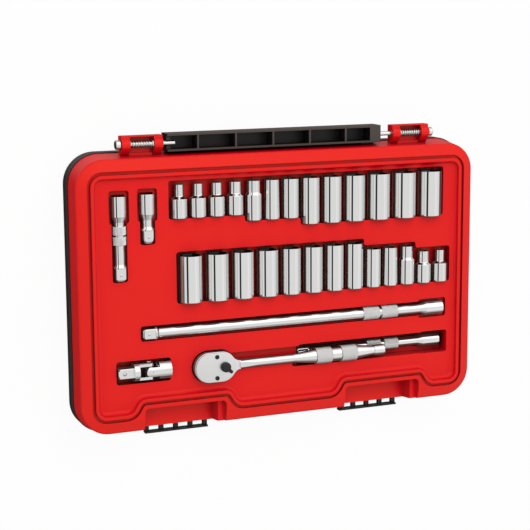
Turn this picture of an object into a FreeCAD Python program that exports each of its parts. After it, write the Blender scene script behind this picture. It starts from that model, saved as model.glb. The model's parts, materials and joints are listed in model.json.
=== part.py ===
import FreeCAD, Part
import math
import os

from FreeCAD import Rotation, Vector

# Sizes are in millimetres. The case lies on its cover with the tools facing up:
# +X runs along the rows, +Y points to the hinge bar, +Z points out of the tray.

# Case shells
case_width = 394.0
case_depth = 249.0
case_corner = 26.0
wall_flare_x = 0.3
wall_flare_y = 3.0
cover_height = 18.0
cover_proud = 0.8
cover_round = 4.0
cover_wall = 2.6
tray_height = 27.7
tray_wall = 3.0
panel_thickness = 2.6
panel_drop = 5.0
panel_cove = 4.6
panel_corner = 7.5
parting_gap = 0.3

# Rim of the tray: an outer bevel, a groove and a raised ridge round the panel
rim_width = 9.8
rim_depth = 10.9
rim_drop = 0.8
bevel_drop = 2.6
edge_round = 1.2
edge_drop = 1.3
groove_width = 2.9
groove_depth = 3.4
ridge_width = 3.1

# Steps of the rim round the two latch recesses
front_shift = 1.5
recess_side = 96.8
recess_width = 79.0
recess_reach = 20.6
recess_floor = 22.4
recess_corner = 4.0
ledge_width = 6.2
ledge_height = 15.6
step_rise = 13.3
step_out = 3.9
step_run = 8.0
step_round = 9.5

# Hinge of the tray on the cover's bar
hinge_reach = 11.4
hinge_height = 33.5
pin_radius = 2.05
pin_fit = 0.06
pin_head_radius = 4.3
pin_head_length = 4.6
pin_hold_left = 7.6
pin_hold_right = 3.8
pin_travel = 8.0
lug_side = 82.8
lug_length = 8.0
lug_gap = 22.3
lug_radius = 5.5
lug_slope = 6.0
bracket_wall = 1.0
bracket_out = 7.7
bracket_low = 7.0
bracket_top = 2.6
bracket_ledge = 2.5
trough_in = 7.8
washer_radius = 3.7
washer_length = 1.0
spring_wire = 1.1
spring_radius = 2.75
spring_turns = 8
seat_gap = 0.3

# Hinge bar moulded on the cover
bar_left_gap = 4.2
bar_right_gap = 12.7
bar_in = 7.6
bar_out = 8.4
bar_low = 20.0
bar_high = 37.2
bar_flange = 1.9
bar_rib = 1.8
bar_end_wall = 4.0
bar_end_block = 11.0
bar_first_cell = 24.0
bar_last_cell = 26.1
bar_cells = 6
bar_shelf_low = 9.0
bar_slot_gap = 0.3

# Latches on the cover's front
latch_shift = 0.7
latch_width = 62.0
latch_side_gap = 1.0
latch_axis_out = 1.7
latch_axis_height = 14.2
latch_barrel = 2.6
latch_pin_radius = 1.5
latch_reach = 10.2
latch_arm_top = 2.3
latch_arm_thickness = 3.4
latch_lip = 1.6
latch_lip_rise = 0.4
latch_rail = 1.9
latch_bar = 4.3
latch_windows = 4
latch_bed_gap = 0.3
latch_bed_wall = 2.6

# Square drive and its detent ball
drive_square = 9.525
drive_round = 1.0
drive_length = 11.5
drive_hole_gap = 0.08
drive_hole_round = 1.25
drive_hole_depth = 12.0
ball_radius = 1.6
ball_proud = 0.6
ball_travel = 0.5
ball_fit = 0.05

# Sockets: nominal hexagons, nose diameters and the shared drive end
metric_sizes = (5.5, 6.0, 7.0, 8.0, 9.0, 10.0, 11.0, 12.0, 13.0, 14.0, 15.0, 16.0, 17.0)
metric_noses = (8.0, 8.8, 9.6, 10.8, 12.2, 13.8, 16.0, 17.6, 18.8, 20.4, 21.8, 23.0, 23.0)
inch_first = 8
inch_parts = 32
inch_noses = (8.8, 10.6, 11.8, 14.0, 15.4, 17.0, 17.9, 18.6, 18.9, 20.3, 20.5, 21.4, 21.9)
inch = 25.4
drive_end_diameter = 15.0
drive_end_length = 17.0
shoulder_length = 3.0
socket_chamfer = 0.7
mouth_chamfer = 0.3
hex_gap = 0.1
short_socket = 30.5
medium_socket = 36.5
long_socket = 43.0
metric_short = 4
metric_medium = 3
inch_short = 2
inch_medium = 3
row_pitch_ratio = 1.2

# Places of the rows and tools on the panel
tool_height = 40.0
metric_row_start = -101.1
metric_row_top = 99.0
inch_row_start = -91.2
inch_row_bottom = -9.0
pocket_gap = 0.6
pocket_round = 2.4
end_gap = 0.7
mouth_gap = 3.6
bay_side = 2.6
bay_depth = 8.8
tool_side = 2.3
shaft_side = 0.6
head_side = 0.8
handle_side = 1.0
handle_room = 3.0
tool_end = 1.4
tool_mouth = 4.6
tool_deep = 3.0
cup_wall = 2.2

# Extensions
end_diameter = 13.8
end_length = 19.0
end_cone = 4.5
shaft_diameter = 9.4
collar_length = 1.2
collar_cone = 2.4
band_diameter = 12.4
band_length = 8.2
band_space = 0.9
small_length = 76.2
small_x = -157.6
small_y = 91.4
small_band_start = 32.4
stub_length = 44.5
stub_x = -131.3
stub_y = 92.2
stub_nose_radius = 7.4
middle_length = 152.4
middle_x = 16.3
middle_y = -69.3
middle_height = 28.8
middle_band_start = 74.0
middle_band_length = 15.2
middle_band_space = 3.6
middle_side = 4.0
middle_mouth = 4.4
great_length = 304.8
great_x = -138.2
great_y = -35.0
great_band_start = 219.6
great_band_length = 17.2
great_band_space = 2.2

# Ratchet
ratchet_x = -76.6
ratchet_y = -71.0
ratchet_height = 43.0
head_radius = 14.2
head_stretch = 12.0
head_low = 7.4
head_high = 4.6
plate_thickness = 1.8
plate_inset = 0.5
neck_radius = 4.1
neck_sweep = 9.0
neck_slope = 16.0
neck_fall = 4.5
handle_root = 9.0
plate_shift = 6.0
plate_reach = 20.5
neck_high = 3.6
handle_radius = 4.1
grip_start = 85.1
grip_cone = 22.0
grip_radius = 7.6
grip_waist = 6.6
grip_length = 16.7
grip_space = 9.5
tail_radius = 4.4
tail_length = 18.4
cap_radius = 5.0
cap_length = 11.7
gear_radius = 9.4
gear_teeth = 36
tooth_depth = 0.7
gear_floor = 2.6
gear_gap = 0.3
shank_radius = 7.0
lever_place = 14.9
lever_radius = 4.8
lever_height = 3.4
lever_nose = 8.6
lever_nose_width = 3.6
lever_turn = -42.0
lever_shaft = 2.2
pawl_radius = 5.0
pawl_height = 5.0
pawl_flat = 3.6
screw_along = 6.9
screw_across = 10.0
screw_head = 1.9
screw_head_high = 0.5
screw_shank = 1.3
screw_length = 6.0
pawl_spring_radius = 1.2
pawl_spring_length = 4.0

# Universal joint
joint_x = -132.4
joint_y = -69.6
joint_radius = 8.5
joint_male_reach = 29.9
joint_male_back = 15.2
joint_female_reach = 19.7
yoke_gap = 0.3
yoke_root = 8.4
male_root = 10.4
yoke_arm = 8.6
block_side = 9.0
joint_pin_radius = 1.9
joint_pocket_side = 10.7
joint_pocket_end = 1.0


def box(x0, x1, y0, y1, z0, z1):
    return Part.makeBox(x1 - x0, y1 - y0, z1 - z0, Vector(x0, y0, z0))


def rod(start, along, radius, length):
    return Part.makeCylinder(radius, length, start, along)


def rounded_wire(points, radii, z):
    # Closed outline in the XY plane whose corners are arcs tangent to both sides.
    edges = []
    ends = []
    count = len(points)
    for i in range(count):
        corner = Vector(points[i][0], points[i][1], z)
        before = Vector(points[i - 1][0], points[i - 1][1], z) - corner
        after = Vector(points[(i + 1) % count][0], points[(i + 1) % count][1], z) - corner
        before.normalize()
        after.normalize()
        half = before.getAngle(after) / 2
        setback = radii[i] / math.tan(half)
        middle = before + after
        middle.normalize()
        depth = radii[i] / math.sin(half) - radii[i]
        ends.append((corner + before * setback, corner + middle * depth, corner + after * setback))
    for i in range(count):
        start, middle, stop = ends[i]
        edges.append(Part.Arc(start, middle, stop).toShape())
        edges.append(Part.LineSegment(stop, ends[(i + 1) % count][0]).toShape())
    return Part.Wire(edges)


def rect_wire(width, depth, corner, z, x=0.0, y=0.0):
    right = width / 2
    back = depth / 2
    points = [(x - right, y - back), (x + right, y - back), (x + right, y + back), (x - right, y + back)]
    return rounded_wire(points, [corner] * 4, z)


def raised(wire, height):
    return Part.Face(wire).extrude(Vector(0, 0, height))


def rounded_box(x0, x1, y0, y1, z0, z1):
    return raised(rect_wire(x1 - x0, y1 - y0, pocket_round, z0, (x0 + x1) / 2, (y0 + y1) / 2), z1 - z0)


def lofted(wires):
    return Part.makeLoft(wires, True, True)


def turned(profile):
    # Solid of revolution about Z from (radius, height) points, closed along the axis.
    points = [Vector(0, 0, profile[0][1])]
    points += [Vector(r, 0, h) for r, h in profile]
    points += [Vector(0, 0, profile[-1][1]), points[0]]
    face = Part.Face(Part.makePolygon(points))
    return face.revolve(Vector(0, 0, 0), Vector(0, 0, 1), 360)


def square_prism(side, corner, length):
    return raised(rect_wire(side, side, corner, 0), length)


def hex_prism(flats, length):
    radius = flats / math.sqrt(3)
    turns = [math.pi / 3 * k for k in range(7)]
    points = [Vector(radius * math.cos(t), radius * math.sin(t), 0) for t in turns]
    return Part.Face(Part.makePolygon(points)).extrude(Vector(0, 0, length))


def laid(shape, turn, place):
    # Turns a tool built along Z and puts it in the tray.
    copy = shape.copy()
    copy.Placement = FreeCAD.Placement(place, turn).multiply(shape.Placement)
    return copy


along_y = Rotation(Vector(1, 0, 0), -90)
along_x = Rotation(Vector(0, 1, 0), 90)


# Levels and outlines that several pieces share
tray_low = cover_height + parting_gap
ridge_top = tray_low + tray_height
panel_top = ridge_top - panel_drop
panel_under = panel_top - panel_thickness
rim_top = ridge_top - rim_drop
bevel_low = rim_top - bevel_drop
wall_top = bevel_low - edge_drop
groove_floor = ridge_top - groove_depth
panel_rim = groove_width + ridge_width
panel_side = case_width / 2 - rim_width - panel_rim
panel_back = case_depth / 2 - rim_depth - panel_rim
front = -case_depth / 2
recess_back = front + recess_reach
recess_place = case_width / 2 - recess_side
latch_place = recess_place - latch_shift
recess_places = (front_shift - recess_place, front_shift + recess_place)
latch_places = (front_shift - latch_place, front_shift + latch_place)
latch_axis_in = case_depth / 2 + latch_axis_out
hinge_out = case_depth / 2 + hinge_reach
lug_near = case_width / 2 - lug_side
lug_far = lug_near + lug_length + lug_gap
lug_end = lug_far + lug_length
bar_left = bar_left_gap - lug_near
bar_right = lug_near - bar_right_gap
bar_near = hinge_out - bar_in
bar_far = hinge_out + bar_out
bar_first = bar_left + bar_end_wall
bar_last = bar_right - bar_end_block
bar_pitch = (bar_last - bar_first - bar_first_cell - bar_last_cell) / (bar_cells - 2)
neck_run = math.sqrt((head_radius + neck_sweep) ** 2 - (neck_radius + neck_sweep) ** 2)
neck_place = head_stretch + neck_run
drive_hole = drive_square + 2 * drive_hole_gap


def panel_outline(z):
    side = panel_side
    back = panel_back
    corner = panel_corner
    step_back = -back + step_rise
    top_half = recess_width / 2 + step_out
    points = [(-side, -back)]
    radii = [corner]
    for centre in recess_places:
        points += [(centre - top_half - step_run, -back), (centre - top_half, step_back)]
        points += [(centre + top_half, step_back), (centre + top_half + step_run, -back)]
        radii += [step_round] * 4
    points += [(side, -back), (side, back), (-side, back)]
    radii += [corner] * 3
    return rounded_wire(points, radii, z)


def case_outline(inset, z, flare=0.0):
    # Outline of the case, inset all round and let out by a share of its walls' draft.
    width = case_width - 2 * inset + 2 * flare * wall_flare_x
    depth = case_depth - 2 * inset + 2 * flare * wall_flare_y
    corner = case_corner - inset + flare * (wall_flare_x + wall_flare_y) / 2
    return rect_wire(width, depth, corner, z)


# Sockets

def socket_sizes():
    # Name, hexagon, nose diameter, length and row of every socket.
    rows = {"metric": [], "inch": []}
    for i, flats in enumerate(metric_sizes):
        length = long_socket
        if i < metric_short + metric_medium:
            length = medium_socket
        if i < metric_short:
            length = short_socket
        rows["metric"].append((flats, metric_noses[i], length))
    for i, nose in enumerate(inch_noses):
        length = long_socket
        if i < inch_short + inch_medium:
            length = medium_socket
        if i < inch_short:
            length = short_socket
        rows["inch"].append((inch * (inch_first + i) / inch_parts, nose, length))
    return rows


def row_places(row, start):
    # Centres along X: the pitch grows with the two neighbours' diameters.
    places = [start]
    for i in range(1, len(row)):
        reach = (max(row[i - 1][1], drive_end_diameter) + max(row[i][1], drive_end_diameter)) / 2
        places.append(places[-1] + reach * row_pitch_ratio)
    return places


def socket(flats, nose, length):
    nose_radius = nose / 2
    base = max(nose, drive_end_diameter) / 2
    low = [(base - socket_chamfer, 0), (base, socket_chamfer)]
    high = [(nose_radius, length - mouth_chamfer), (nose_radius - mouth_chamfer, length)]
    if base - nose_radius > socket_chamfer:
        shoulder = length - (short_socket - drive_end_length)
        low += [(base, shoulder - shoulder_length / 3), (nose_radius, shoulder + shoulder_length)]
    body = turned(low + high)
    square = square_prism(drive_hole, drive_hole_round, drive_hole_depth)
    hexagon = hex_prism(flats + hex_gap, length)
    mouth_radius = (flats + hex_gap) / math.sqrt(3)
    mouth = Part.makeCone(mouth_radius - socket_chamfer, mouth_radius, socket_chamfer)
    mouth.translate(Vector(0, 0, length - socket_chamfer))
    return body.cut([square, hexagon, mouth])


def seat(radius, length, start, along):
    # Trough under a round tool: wider than the tool, with the clearance shared out at its sides.
    lift = Vector(0, 0, pocket_gap - seat_gap)
    return rod(start + lift, along, radius + pocket_gap, length)


# Pieces that hold tools: each tool adds its cut, and its cup below the panel
cuts = []
cups = []
parts = {}


def add_sockets():
    rows = socket_sizes()
    metric = rows["metric"]
    inches = rows["inch"][::-1]
    for name, row, start in (("metric", metric, metric_row_start), ("inch", inches, inch_row_start)):
        places = row_places(row, start)
        deepest = tool_height - max(max(item[1] for item in row), drive_end_diameter) / 2
        bays = []
        for i, (flats, nose, length) in enumerate(row):
            x = places[i]
            y = metric_row_top - length if name == "metric" else inch_row_bottom
            number = i + 1 if name == "metric" else len(row) - i
            shape = socket(flats, nose, length)
            parts["%s_socket_%02d" % (name, number)] = laid(shape, along_y, Vector(x, y, tool_height))
            base = max(nose, drive_end_diameter) / 2
            left = x - base - bay_side if i == 0 else (places[i - 1] + x) / 2
            right = x + base + bay_side if i == len(row) - 1 else (x + places[i + 1]) / 2
            low = y - end_gap
            high = y + length + mouth_gap
            bays.append(box(left, right, low, high, panel_top - bay_depth, ridge_top))
            cuts.append(seat(base, high - low, Vector(x, low, tool_height), Vector(0, 1, 0)))
            cups.append(box(left - cup_wall, right + cup_wall, low - cup_wall, high + cup_wall,
                            deepest - seat_gap - cup_wall, panel_top))
        bay = bays[0].fuse(bays[1:]).removeSplitter()
        upright = [e for e in bay.Edges if abs(e.tangentAt(e.FirstParameter).z) > 0.9]
        cuts.append(bay.makeFillet(pocket_round, upright))


# Extensions

def male_square(length):
    # Square drive with a lead-in at its tip and a hole for the detent ball on its +X side.
    lead = drive_square / math.sqrt(2)
    tip = turned([(lead - 2.0, 0), (lead, 2.0), (lead, length)])
    square = square_prism(drive_square, drive_round, length).common(tip)
    depth = ball_radius + (ball_radius - ball_proud) + ball_travel + ball_fit
    bottom = Vector(drive_square / 2 - depth, 0, drive_length / 2)
    return square.cut(rod(bottom, Vector(1, 0, 0), ball_radius + ball_fit, depth))


def detent_ball():
    centre = Vector(drive_square / 2 + ball_proud - ball_radius, 0, drive_length / 2)
    return Part.makeSphere(ball_radius, centre)


def extension(length, bands):
    # Built along Z from the tip of the square to the mouth of the socket end.
    shaft = shaft_diameter / 2
    wide = end_diameter / 2
    neck = length - end_length
    band = band_diameter / 2
    collar = drive_length + collar_length
    profile = [(band - 0.3, drive_length), (band, drive_length + 0.3), (band, collar)]
    profile.append((shaft, collar + collar_cone))
    for start, stop in bands:
        profile += [(shaft, start), (band, start + 0.4), (band, stop - 0.4), (shaft, stop)]
    profile += [(shaft, neck - end_cone), (wide - 0.5, neck), (wide, neck + 0.8)]
    profile += [(wide, length - socket_chamfer), (wide - socket_chamfer, length)]
    body = turned(profile).fuse(male_square(drive_length + 1.0)).removeSplitter()
    hole = square_prism(drive_hole, drive_hole_round, drive_hole_depth)
    hole.translate(Vector(0, 0, length - drive_hole_depth))
    return body.cut(hole)


def stub_extension():
    # Short wobble extension: its square is barrelled so that a socket can tilt on it.
    shaft = shaft_diameter / 2
    wide = end_diameter / 2
    neck = stub_length - end_length
    band = band_diameter / 2
    collar = drive_length + collar_length
    profile = [(band - 0.3, drive_length), (band, drive_length + 0.3), (band, collar)]
    profile.append((shaft, collar + collar_cone))
    profile += [(shaft, neck - end_cone), (wide - 0.5, neck), (wide, neck + 0.8)]
    profile += [(wide, stub_length - socket_chamfer), (wide - socket_chamfer, stub_length)]
    barrel = Part.makeSphere(stub_nose_radius, Vector(0, 0, stub_nose_radius))
    sleeve = rod(Vector(0, 0, stub_nose_radius), Vector(0, 0, 1), stub_nose_radius, drive_length)
    nose = male_square(drive_length + 1.0).common(barrel.fuse(sleeve))
    hole = square_prism(drive_hole, drive_hole_round, drive_hole_depth)
    hole.translate(Vector(0, 0, stub_length - drive_hole_depth))
    return turned(profile).fuse(nose).removeSplitter().cut(hole)


def two_bands(start, length, space):
    return [(start, start + length), (start + length + space, start + 2 * length + space)]


def tool_pocket(place, along, length, slim_radius, sides, mouth):
    # Follows a tool's outline: a slim channel, and a wider one at its socket end.
    wide_start = length - end_length - end_cone
    wide_radius = end_diameter / 2
    wide_place = place + along * (wide_start - end_gap)
    cuts.append(seat(slim_radius, wide_start + end_gap, place - along * end_gap, along))
    cuts.append(seat(wide_radius, length - wide_start + 2 * end_gap, wide_place, along))
    slim = (slim_radius, sides[0], -tool_end, wide_start)
    wide = (wide_radius, sides[1], wide_start - tool_end, length + mouth)
    for radius, room, start, stop in (slim, wide):
        a = place + along * start
        b = place + along * stop
        side = Vector(along.y, along.x, 0) * (radius + room)
        x0, x1 = sorted((a.x, b.x))
        y0, y1 = sorted((a.y, b.y))
        sx, sy = abs(side.x), abs(side.y)
        cuts.append(rounded_box(x0 - sx, x1 + sx, y0 - sy, y1 + sy, place.z - tool_deep, ridge_top))
        low = place.z - radius - seat_gap - cup_wall
        cups.append(box(x0 - sx - cup_wall, x1 + sx + cup_wall, y0 - sy - cup_wall, y1 + sy + cup_wall,
                        low, panel_top))


def add_extensions():
    square = drive_square / math.sqrt(2) - drive_round * (math.sqrt(2) - 1)
    slim = max(band_diameter / 2, square)
    small = extension(small_length, two_bands(small_band_start, band_length, band_space))
    middle = extension(middle_length, two_bands(middle_band_start, middle_band_length, middle_band_space))
    great = extension(great_length, two_bands(great_band_start, great_band_length, great_band_space))
    small_place = Vector(small_x, small_y - small_length, tool_height)
    stub_place = Vector(stub_x, stub_y - stub_length, tool_height)
    middle_place = Vector(middle_x, middle_y, middle_height)
    great_place = Vector(great_x, great_y, tool_height)
    sides = (shaft_side, tool_side)
    middle_sides = (middle_side, middle_side)
    up = (along_y.multiply(Rotation(Vector(0, 0, 1), -90)), Vector(0, 1, 0))
    right = (along_x.multiply(Rotation(Vector(0, 0, 1), 180)), Vector(1, 0, 0))
    for name, shape, way, place, length, room, mouth in (
        ("small", small, up, small_place, small_length, sides, tool_mouth),
        ("stub", stub_extension(), up, stub_place, stub_length, sides, tool_mouth),
        ("middle", middle, right, middle_place, middle_length, middle_sides, middle_mouth),
        ("long", great, right, great_place, great_length, sides, tool_mouth),
    ):
        turn, along = way
        parts["extension_" + name] = laid(shape, turn, place)
        parts["detent_ball_" + name] = laid(detent_ball(), turn, place)
        tool_pocket(place, along, length, slim, room, mouth)


# Ratchet

def head_outline(grow, z):
    # Long head with a round end, whose flanks sweep in to the neck by arcs tangent to both.
    radius = head_radius + grow
    half = neck_radius + grow
    sweep = neck_sweep - grow
    stop = neck_place + neck_radius
    lean = math.atan2(half + sweep, neck_run)
    swell = (lean + math.pi / 2) / 2
    bend = (lean + math.pi / 2) / 2 + math.pi
    points = []
    for side in (1, -1):
        centre = Vector(neck_place, side * (half + sweep), 0)
        flank = Vector(head_stretch, 0, 0)
        cheek = flank + Vector(math.cos(swell), side * math.sin(swell), 0) * radius
        touch = flank + Vector(math.cos(lean), side * math.sin(lean), 0) * radius
        belly = centre + Vector(math.cos(bend), side * math.sin(bend), 0) * sweep
        straight = [Vector(0, side * radius, 0), Vector(head_stretch, side * radius, 0)]
        neck = [Vector(neck_place, side * half, 0), Vector(stop, side * half, 0)]
        points.append(straight + [cheek, touch, belly] + neck)
    at = Vector(ratchet_x, ratchet_y, z)
    upper = [at + p for p in points[0]]
    lower = [at + p for p in points[1]]
    edges = [
        Part.Arc(upper[0], at + Vector(-radius, 0, 0), lower[0]).toShape(),
        Part.LineSegment(lower[0], lower[1]).toShape(),
        Part.Arc(lower[1], lower[2], lower[3]).toShape(),
        Part.Arc(lower[3], lower[4], lower[5]).toShape(),
        Part.LineSegment(lower[5], lower[6]).toShape(),
        Part.LineSegment(lower[6], upper[6]).toShape(),
        Part.LineSegment(upper[6], upper[5]).toShape(),
        Part.Arc(upper[5], upper[4], upper[3]).toShape(),
        Part.Arc(upper[3], upper[2], upper[1]).toShape(),
        Part.LineSegment(upper[1], upper[0]).toShape(),
    ]
    return Part.Wire(edges)


def ratchet_levels():
    low = ratchet_height - head_low
    plate_low = ratchet_height + head_high
    return low, plate_low, plate_low + plate_thickness


def ratchet_handle():
    grip = grip_start + grip_cone
    first = grip + grip_length
    second = first + grip_space
    last = second + grip_length
    tail = last + tail_length
    profile = [(handle_radius, neck_place - handle_root), (handle_radius, grip_start)]
    for start, stop in ((grip, first), (second, last)):
        profile += [(grip_waist, start), (grip_radius, start + 0.6)]
        profile += [(grip_radius, stop - 0.6), (grip_waist, stop)]
    profile += [(tail_radius, tail), (cap_radius, tail + 0.6), (cap_radius, tail + cap_length - 0.8)]
    profile.append((cap_radius - 0.8, tail + cap_length))
    return laid(turned(profile), along_x, Vector(ratchet_x, ratchet_y, ratchet_height)), tail + cap_length


def add_ratchet():
    low, plate_low, plate_high = ratchet_levels()
    head = raised(head_outline(0, low), plate_low - low)
    neck_low = ratchet_height - neck_high
    neck_top = ratchet_height + neck_high
    left = ratchet_x - head_radius - 1.0
    slope = ratchet_x + neck_place - neck_slope
    neck = ratchet_x + neck_place
    right = neck + neck_radius + 1.0
    side = [(left, low), (slope, low), (neck, neck_low), (right, neck_low), (right, neck_top)]
    side += [(neck, neck_top), (neck - neck_fall, plate_low), (left, plate_low), (left, low)]
    cheek = Part.Face(Part.makePolygon([Vector(x, ratchet_y - 2 * head_radius, z) for x, z in side]))
    head = head.common(cheek.extrude(Vector(0, 4 * head_radius, 0)))
    handle, reach = ratchet_handle()
    lever_at = Vector(ratchet_x + lever_place, ratchet_y, 0)
    gear_low = low + gear_floor
    up = Vector(0, 0, 1)
    pawl_low = plate_low - pawl_height
    hollows = [
        rod(Vector(ratchet_x, ratchet_y, gear_low), up, gear_radius + gear_gap, plate_low - gear_low),
        rod(Vector(ratchet_x, ratchet_y, low - 1), up, shank_radius + pin_fit, gear_floor + 2),
        rod(lever_at + Vector(0, 0, pawl_low - gear_gap), up, pawl_radius + gear_gap, pawl_height + gear_gap),
        rod(lever_at + Vector(pawl_radius - 1, 0, plate_low - pawl_height / 2), Vector(1, 0, 0),
            pawl_spring_radius + gear_gap, pawl_spring_length + 1 + gear_gap),
    ]
    screw_at = [Vector(ratchet_x + screw_along, ratchet_y + s * screw_across, 0) for s in (-1, 1)]
    for at in screw_at:
        hollows.append(rod(at + Vector(0, 0, plate_high - screw_length), up, screw_shank, screw_length))
    parts["ratchet_body"] = head.fuse(handle).removeSplitter().cut(hollows)

    plate = raised(head_outline(-plate_inset, plate_low), plate_thickness)
    plate_at = Vector(ratchet_x + plate_shift, ratchet_y, plate_low)
    plate = plate.common(rod(plate_at, up, plate_reach, plate_thickness))
    holes = [rod(lever_at + Vector(0, 0, plate_low), up, lever_shaft + pin_fit, plate_thickness)]
    holes += [rod(at + Vector(0, 0, plate_low), up, screw_shank, plate_thickness) for at in screw_at]
    parts["ratchet_plate"] = plate.cut(holes)
    screws = []
    for at in screw_at:
        head_disc = rod(at + Vector(0, 0, plate_high), up, screw_head, screw_head_high)
        socket_hole = hex_prism(screw_head, screw_head_high)
        socket_hole.translate(at + Vector(0, 0, plate_high + screw_head_high / 2))
        shank = rod(at + Vector(0, 0, plate_high - screw_length), up, screw_shank, screw_length)
        screws.append(head_disc.fuse(shank).removeSplitter().cut(socket_hole))
    parts["ratchet_screws"] = Part.Compound(screws)

    points = []
    for k in range(2 * gear_teeth):
        angle = math.pi * k / gear_teeth
        radius = gear_radius - (tooth_depth if k % 2 else 0.0)
        points.append(Vector(radius * math.cos(angle), radius * math.sin(angle), 0))
    gear_height = plate_low - gear_low - 2 * gear_gap
    ring = Part.Face(Part.makePolygon(points + points[:1])).extrude(Vector(0, 0, gear_height))
    ring.translate(Vector(0, 0, gear_floor + gear_gap))
    shank = rod(Vector(0, 0, 0), up, shank_radius, gear_floor + gear_gap)
    drive = male_square(drive_length)
    drive.translate(Vector(0, 0, -drive_length))
    at = Vector(ratchet_x, ratchet_y, low)
    parts["drive_gear"] = laid(ring.fuse([shank, drive]).removeSplitter(), Rotation(), at)
    ball = detent_ball()
    ball.translate(Vector(0, 0, -drive_length))
    parts["detent_ball_ratchet"] = laid(ball, Rotation(), at)

    top = plate_high + gear_gap
    knob_top = top + lever_height
    knob = turned([(lever_radius, top), (lever_radius, knob_top - 1.0), (lever_radius - 1.0, knob_top)])
    nose = box(0, lever_nose, -lever_nose_width / 2, lever_nose_width / 2, top, top + lever_height * 0.75)
    nose = nose.common(rod(Vector(0, 0, top), up, lever_nose, lever_height))
    stem = rod(Vector(0, 0, pawl_low), up, lever_shaft, top - pawl_low)
    lever = knob.fuse([nose, stem]).removeSplitter()
    parts["reversing_lever"] = laid(lever, Rotation(Vector(0, 0, 1), lever_turn), lever_at)
    pawl = rod(Vector(0, 0, pawl_low), up, pawl_radius, pawl_height - gear_gap)
    flats = [box(pawl_flat, 2 * pawl_radius, -pawl_radius, pawl_radius, pawl_low, plate_low)]
    flats.append(rod(Vector(0, 0, pawl_low), up, lever_shaft + ball_fit, pawl_height))
    parts["pawl"] = laid(pawl.cut(flats), Rotation(), lever_at)
    spring_at = lever_at + Vector(pawl_radius + gear_gap, 0, plate_low - pawl_height / 2)
    parts["pawl_spring"] = rod(spring_at, Vector(1, 0, 0), pawl_spring_radius, pawl_spring_length - gear_gap)

    # Pocket for the head, the drive and the handle
    cuts.append(raised(head_outline(head_side, low - seat_gap), ridge_top))
    drive_low = low - drive_length - seat_gap
    drive_room = shank_radius + tool_side
    cuts.append(rod(Vector(ratchet_x, ratchet_y, drive_low), up, drive_room, ridge_top))
    cup_low = drive_low - cup_wall
    cups.append(rod(Vector(ratchet_x, ratchet_y, cup_low), up, drive_room + cup_wall, panel_top - cup_low))
    floor = ratchet_height - grip_radius - seat_gap
    stop = ratchet_x + reach + end_gap
    high = ratchet_y + grip_radius + handle_room
    for start, radius in ((neck - neck_run / 2, handle_radius), (ratchet_x + grip_start, grip_radius)):
        cuts.append(rounded_box(start, stop, ratchet_y - radius - handle_side, high, floor, ridge_top))
    cups.append(box(left - cup_wall, stop + cup_wall, ratchet_y - head_radius - cup_wall,
                    ratchet_y + head_radius + cup_wall, min(floor, low) - seat_gap - cup_wall, panel_top))


# Universal joint

def yoke(start, reach, tail):
    # Fork along +X from the cross: two rounded arms and a root, with the tail fused behind it.
    root = rod(Vector(start, 0, 0), Vector(1, 0, 0), joint_radius, reach - start)
    side = yoke_arm / 2
    tongue = box(0, start + side, -side, side, -joint_radius, joint_radius)
    eye = rod(Vector(0, 0, -joint_radius), Vector(0, 0, 1), side, 2 * joint_radius)
    bar = rod(Vector(-side, 0, 0), Vector(1, 0, 0), joint_radius, start + 2 * side)
    arms = tongue.fuse(eye).removeSplitter().common(bar)
    gap = block_side / 2 + yoke_gap
    slot = box(-joint_radius, start, -joint_radius, joint_radius, -gap, gap)
    hole = rod(Vector(0, 0, -joint_radius), Vector(0, 0, 1), joint_pin_radius + pin_fit, 2 * joint_radius)
    return root.fuse([arms] + tail).removeSplitter().cut([slot, hole])


def add_universal_joint():
    at = Vector(joint_x, joint_y, tool_height)
    hole = square_prism(drive_hole, drive_hole_round, drive_hole_depth)
    female = yoke(yoke_root, joint_female_reach, [])
    female = female.cut(laid(hole, along_x, Vector(joint_female_reach - drive_hole_depth, 0, 0)))
    parts["joint_socket_yoke"] = laid(female, Rotation(), at)
    tip = Vector(joint_male_reach, 0, 0)
    inward = Rotation(Vector(1, 0, 0), -90).multiply(Rotation(Vector(0, 1, 0), -90))
    square = laid(male_square(joint_male_reach - joint_male_back + 1.0), inward, tip)
    male = yoke(male_root, joint_male_back, [square])
    flip = Rotation(Vector(0, 0, 1), 180).multiply(Rotation(Vector(1, 0, 0), 90))
    parts["joint_drive_yoke"] = laid(male, flip, at)
    parts["detent_ball_joint"] = laid(laid(detent_ball(), inward, tip), flip, at)
    half = block_side / 2
    block = box(-half, half, -half, half, -half, half)
    pin = rod(Vector(0, 0, -joint_radius + 0.8), Vector(0, 0, 1), joint_pin_radius, 2 * joint_radius - 1.6)
    cross_hole = rod(Vector(0, -joint_radius, 0), Vector(0, 1, 0), joint_pin_radius, 2 * joint_radius)
    parts["joint_block"] = laid(block.cut([pin, cross_hole]), Rotation(), at)
    stubs = []
    for s in (-1, 1):
        start = Vector(0, s * joint_pin_radius, 0)
        stub = rod(start, Vector(0, s, 0), joint_pin_radius, joint_radius - joint_pin_radius - 0.8)
        stubs.append(stub.cut(pin))
    parts["joint_pins"] = laid(Part.Compound([pin] + stubs), Rotation(), at)
    left = joint_x - joint_male_reach - joint_pocket_end
    right = joint_x + joint_female_reach + joint_pocket_end
    floor = tool_height - joint_radius - seat_gap
    low = joint_y - joint_pocket_side
    high = joint_y + joint_pocket_side
    cuts.append(rounded_box(left, right, low, high, floor, ridge_top))
    cups.append(box(left - cup_wall, right + cup_wall, low - cup_wall, high + cup_wall,
                    floor - cup_wall, panel_top))


# Hinge pins with their springs and washers

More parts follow.
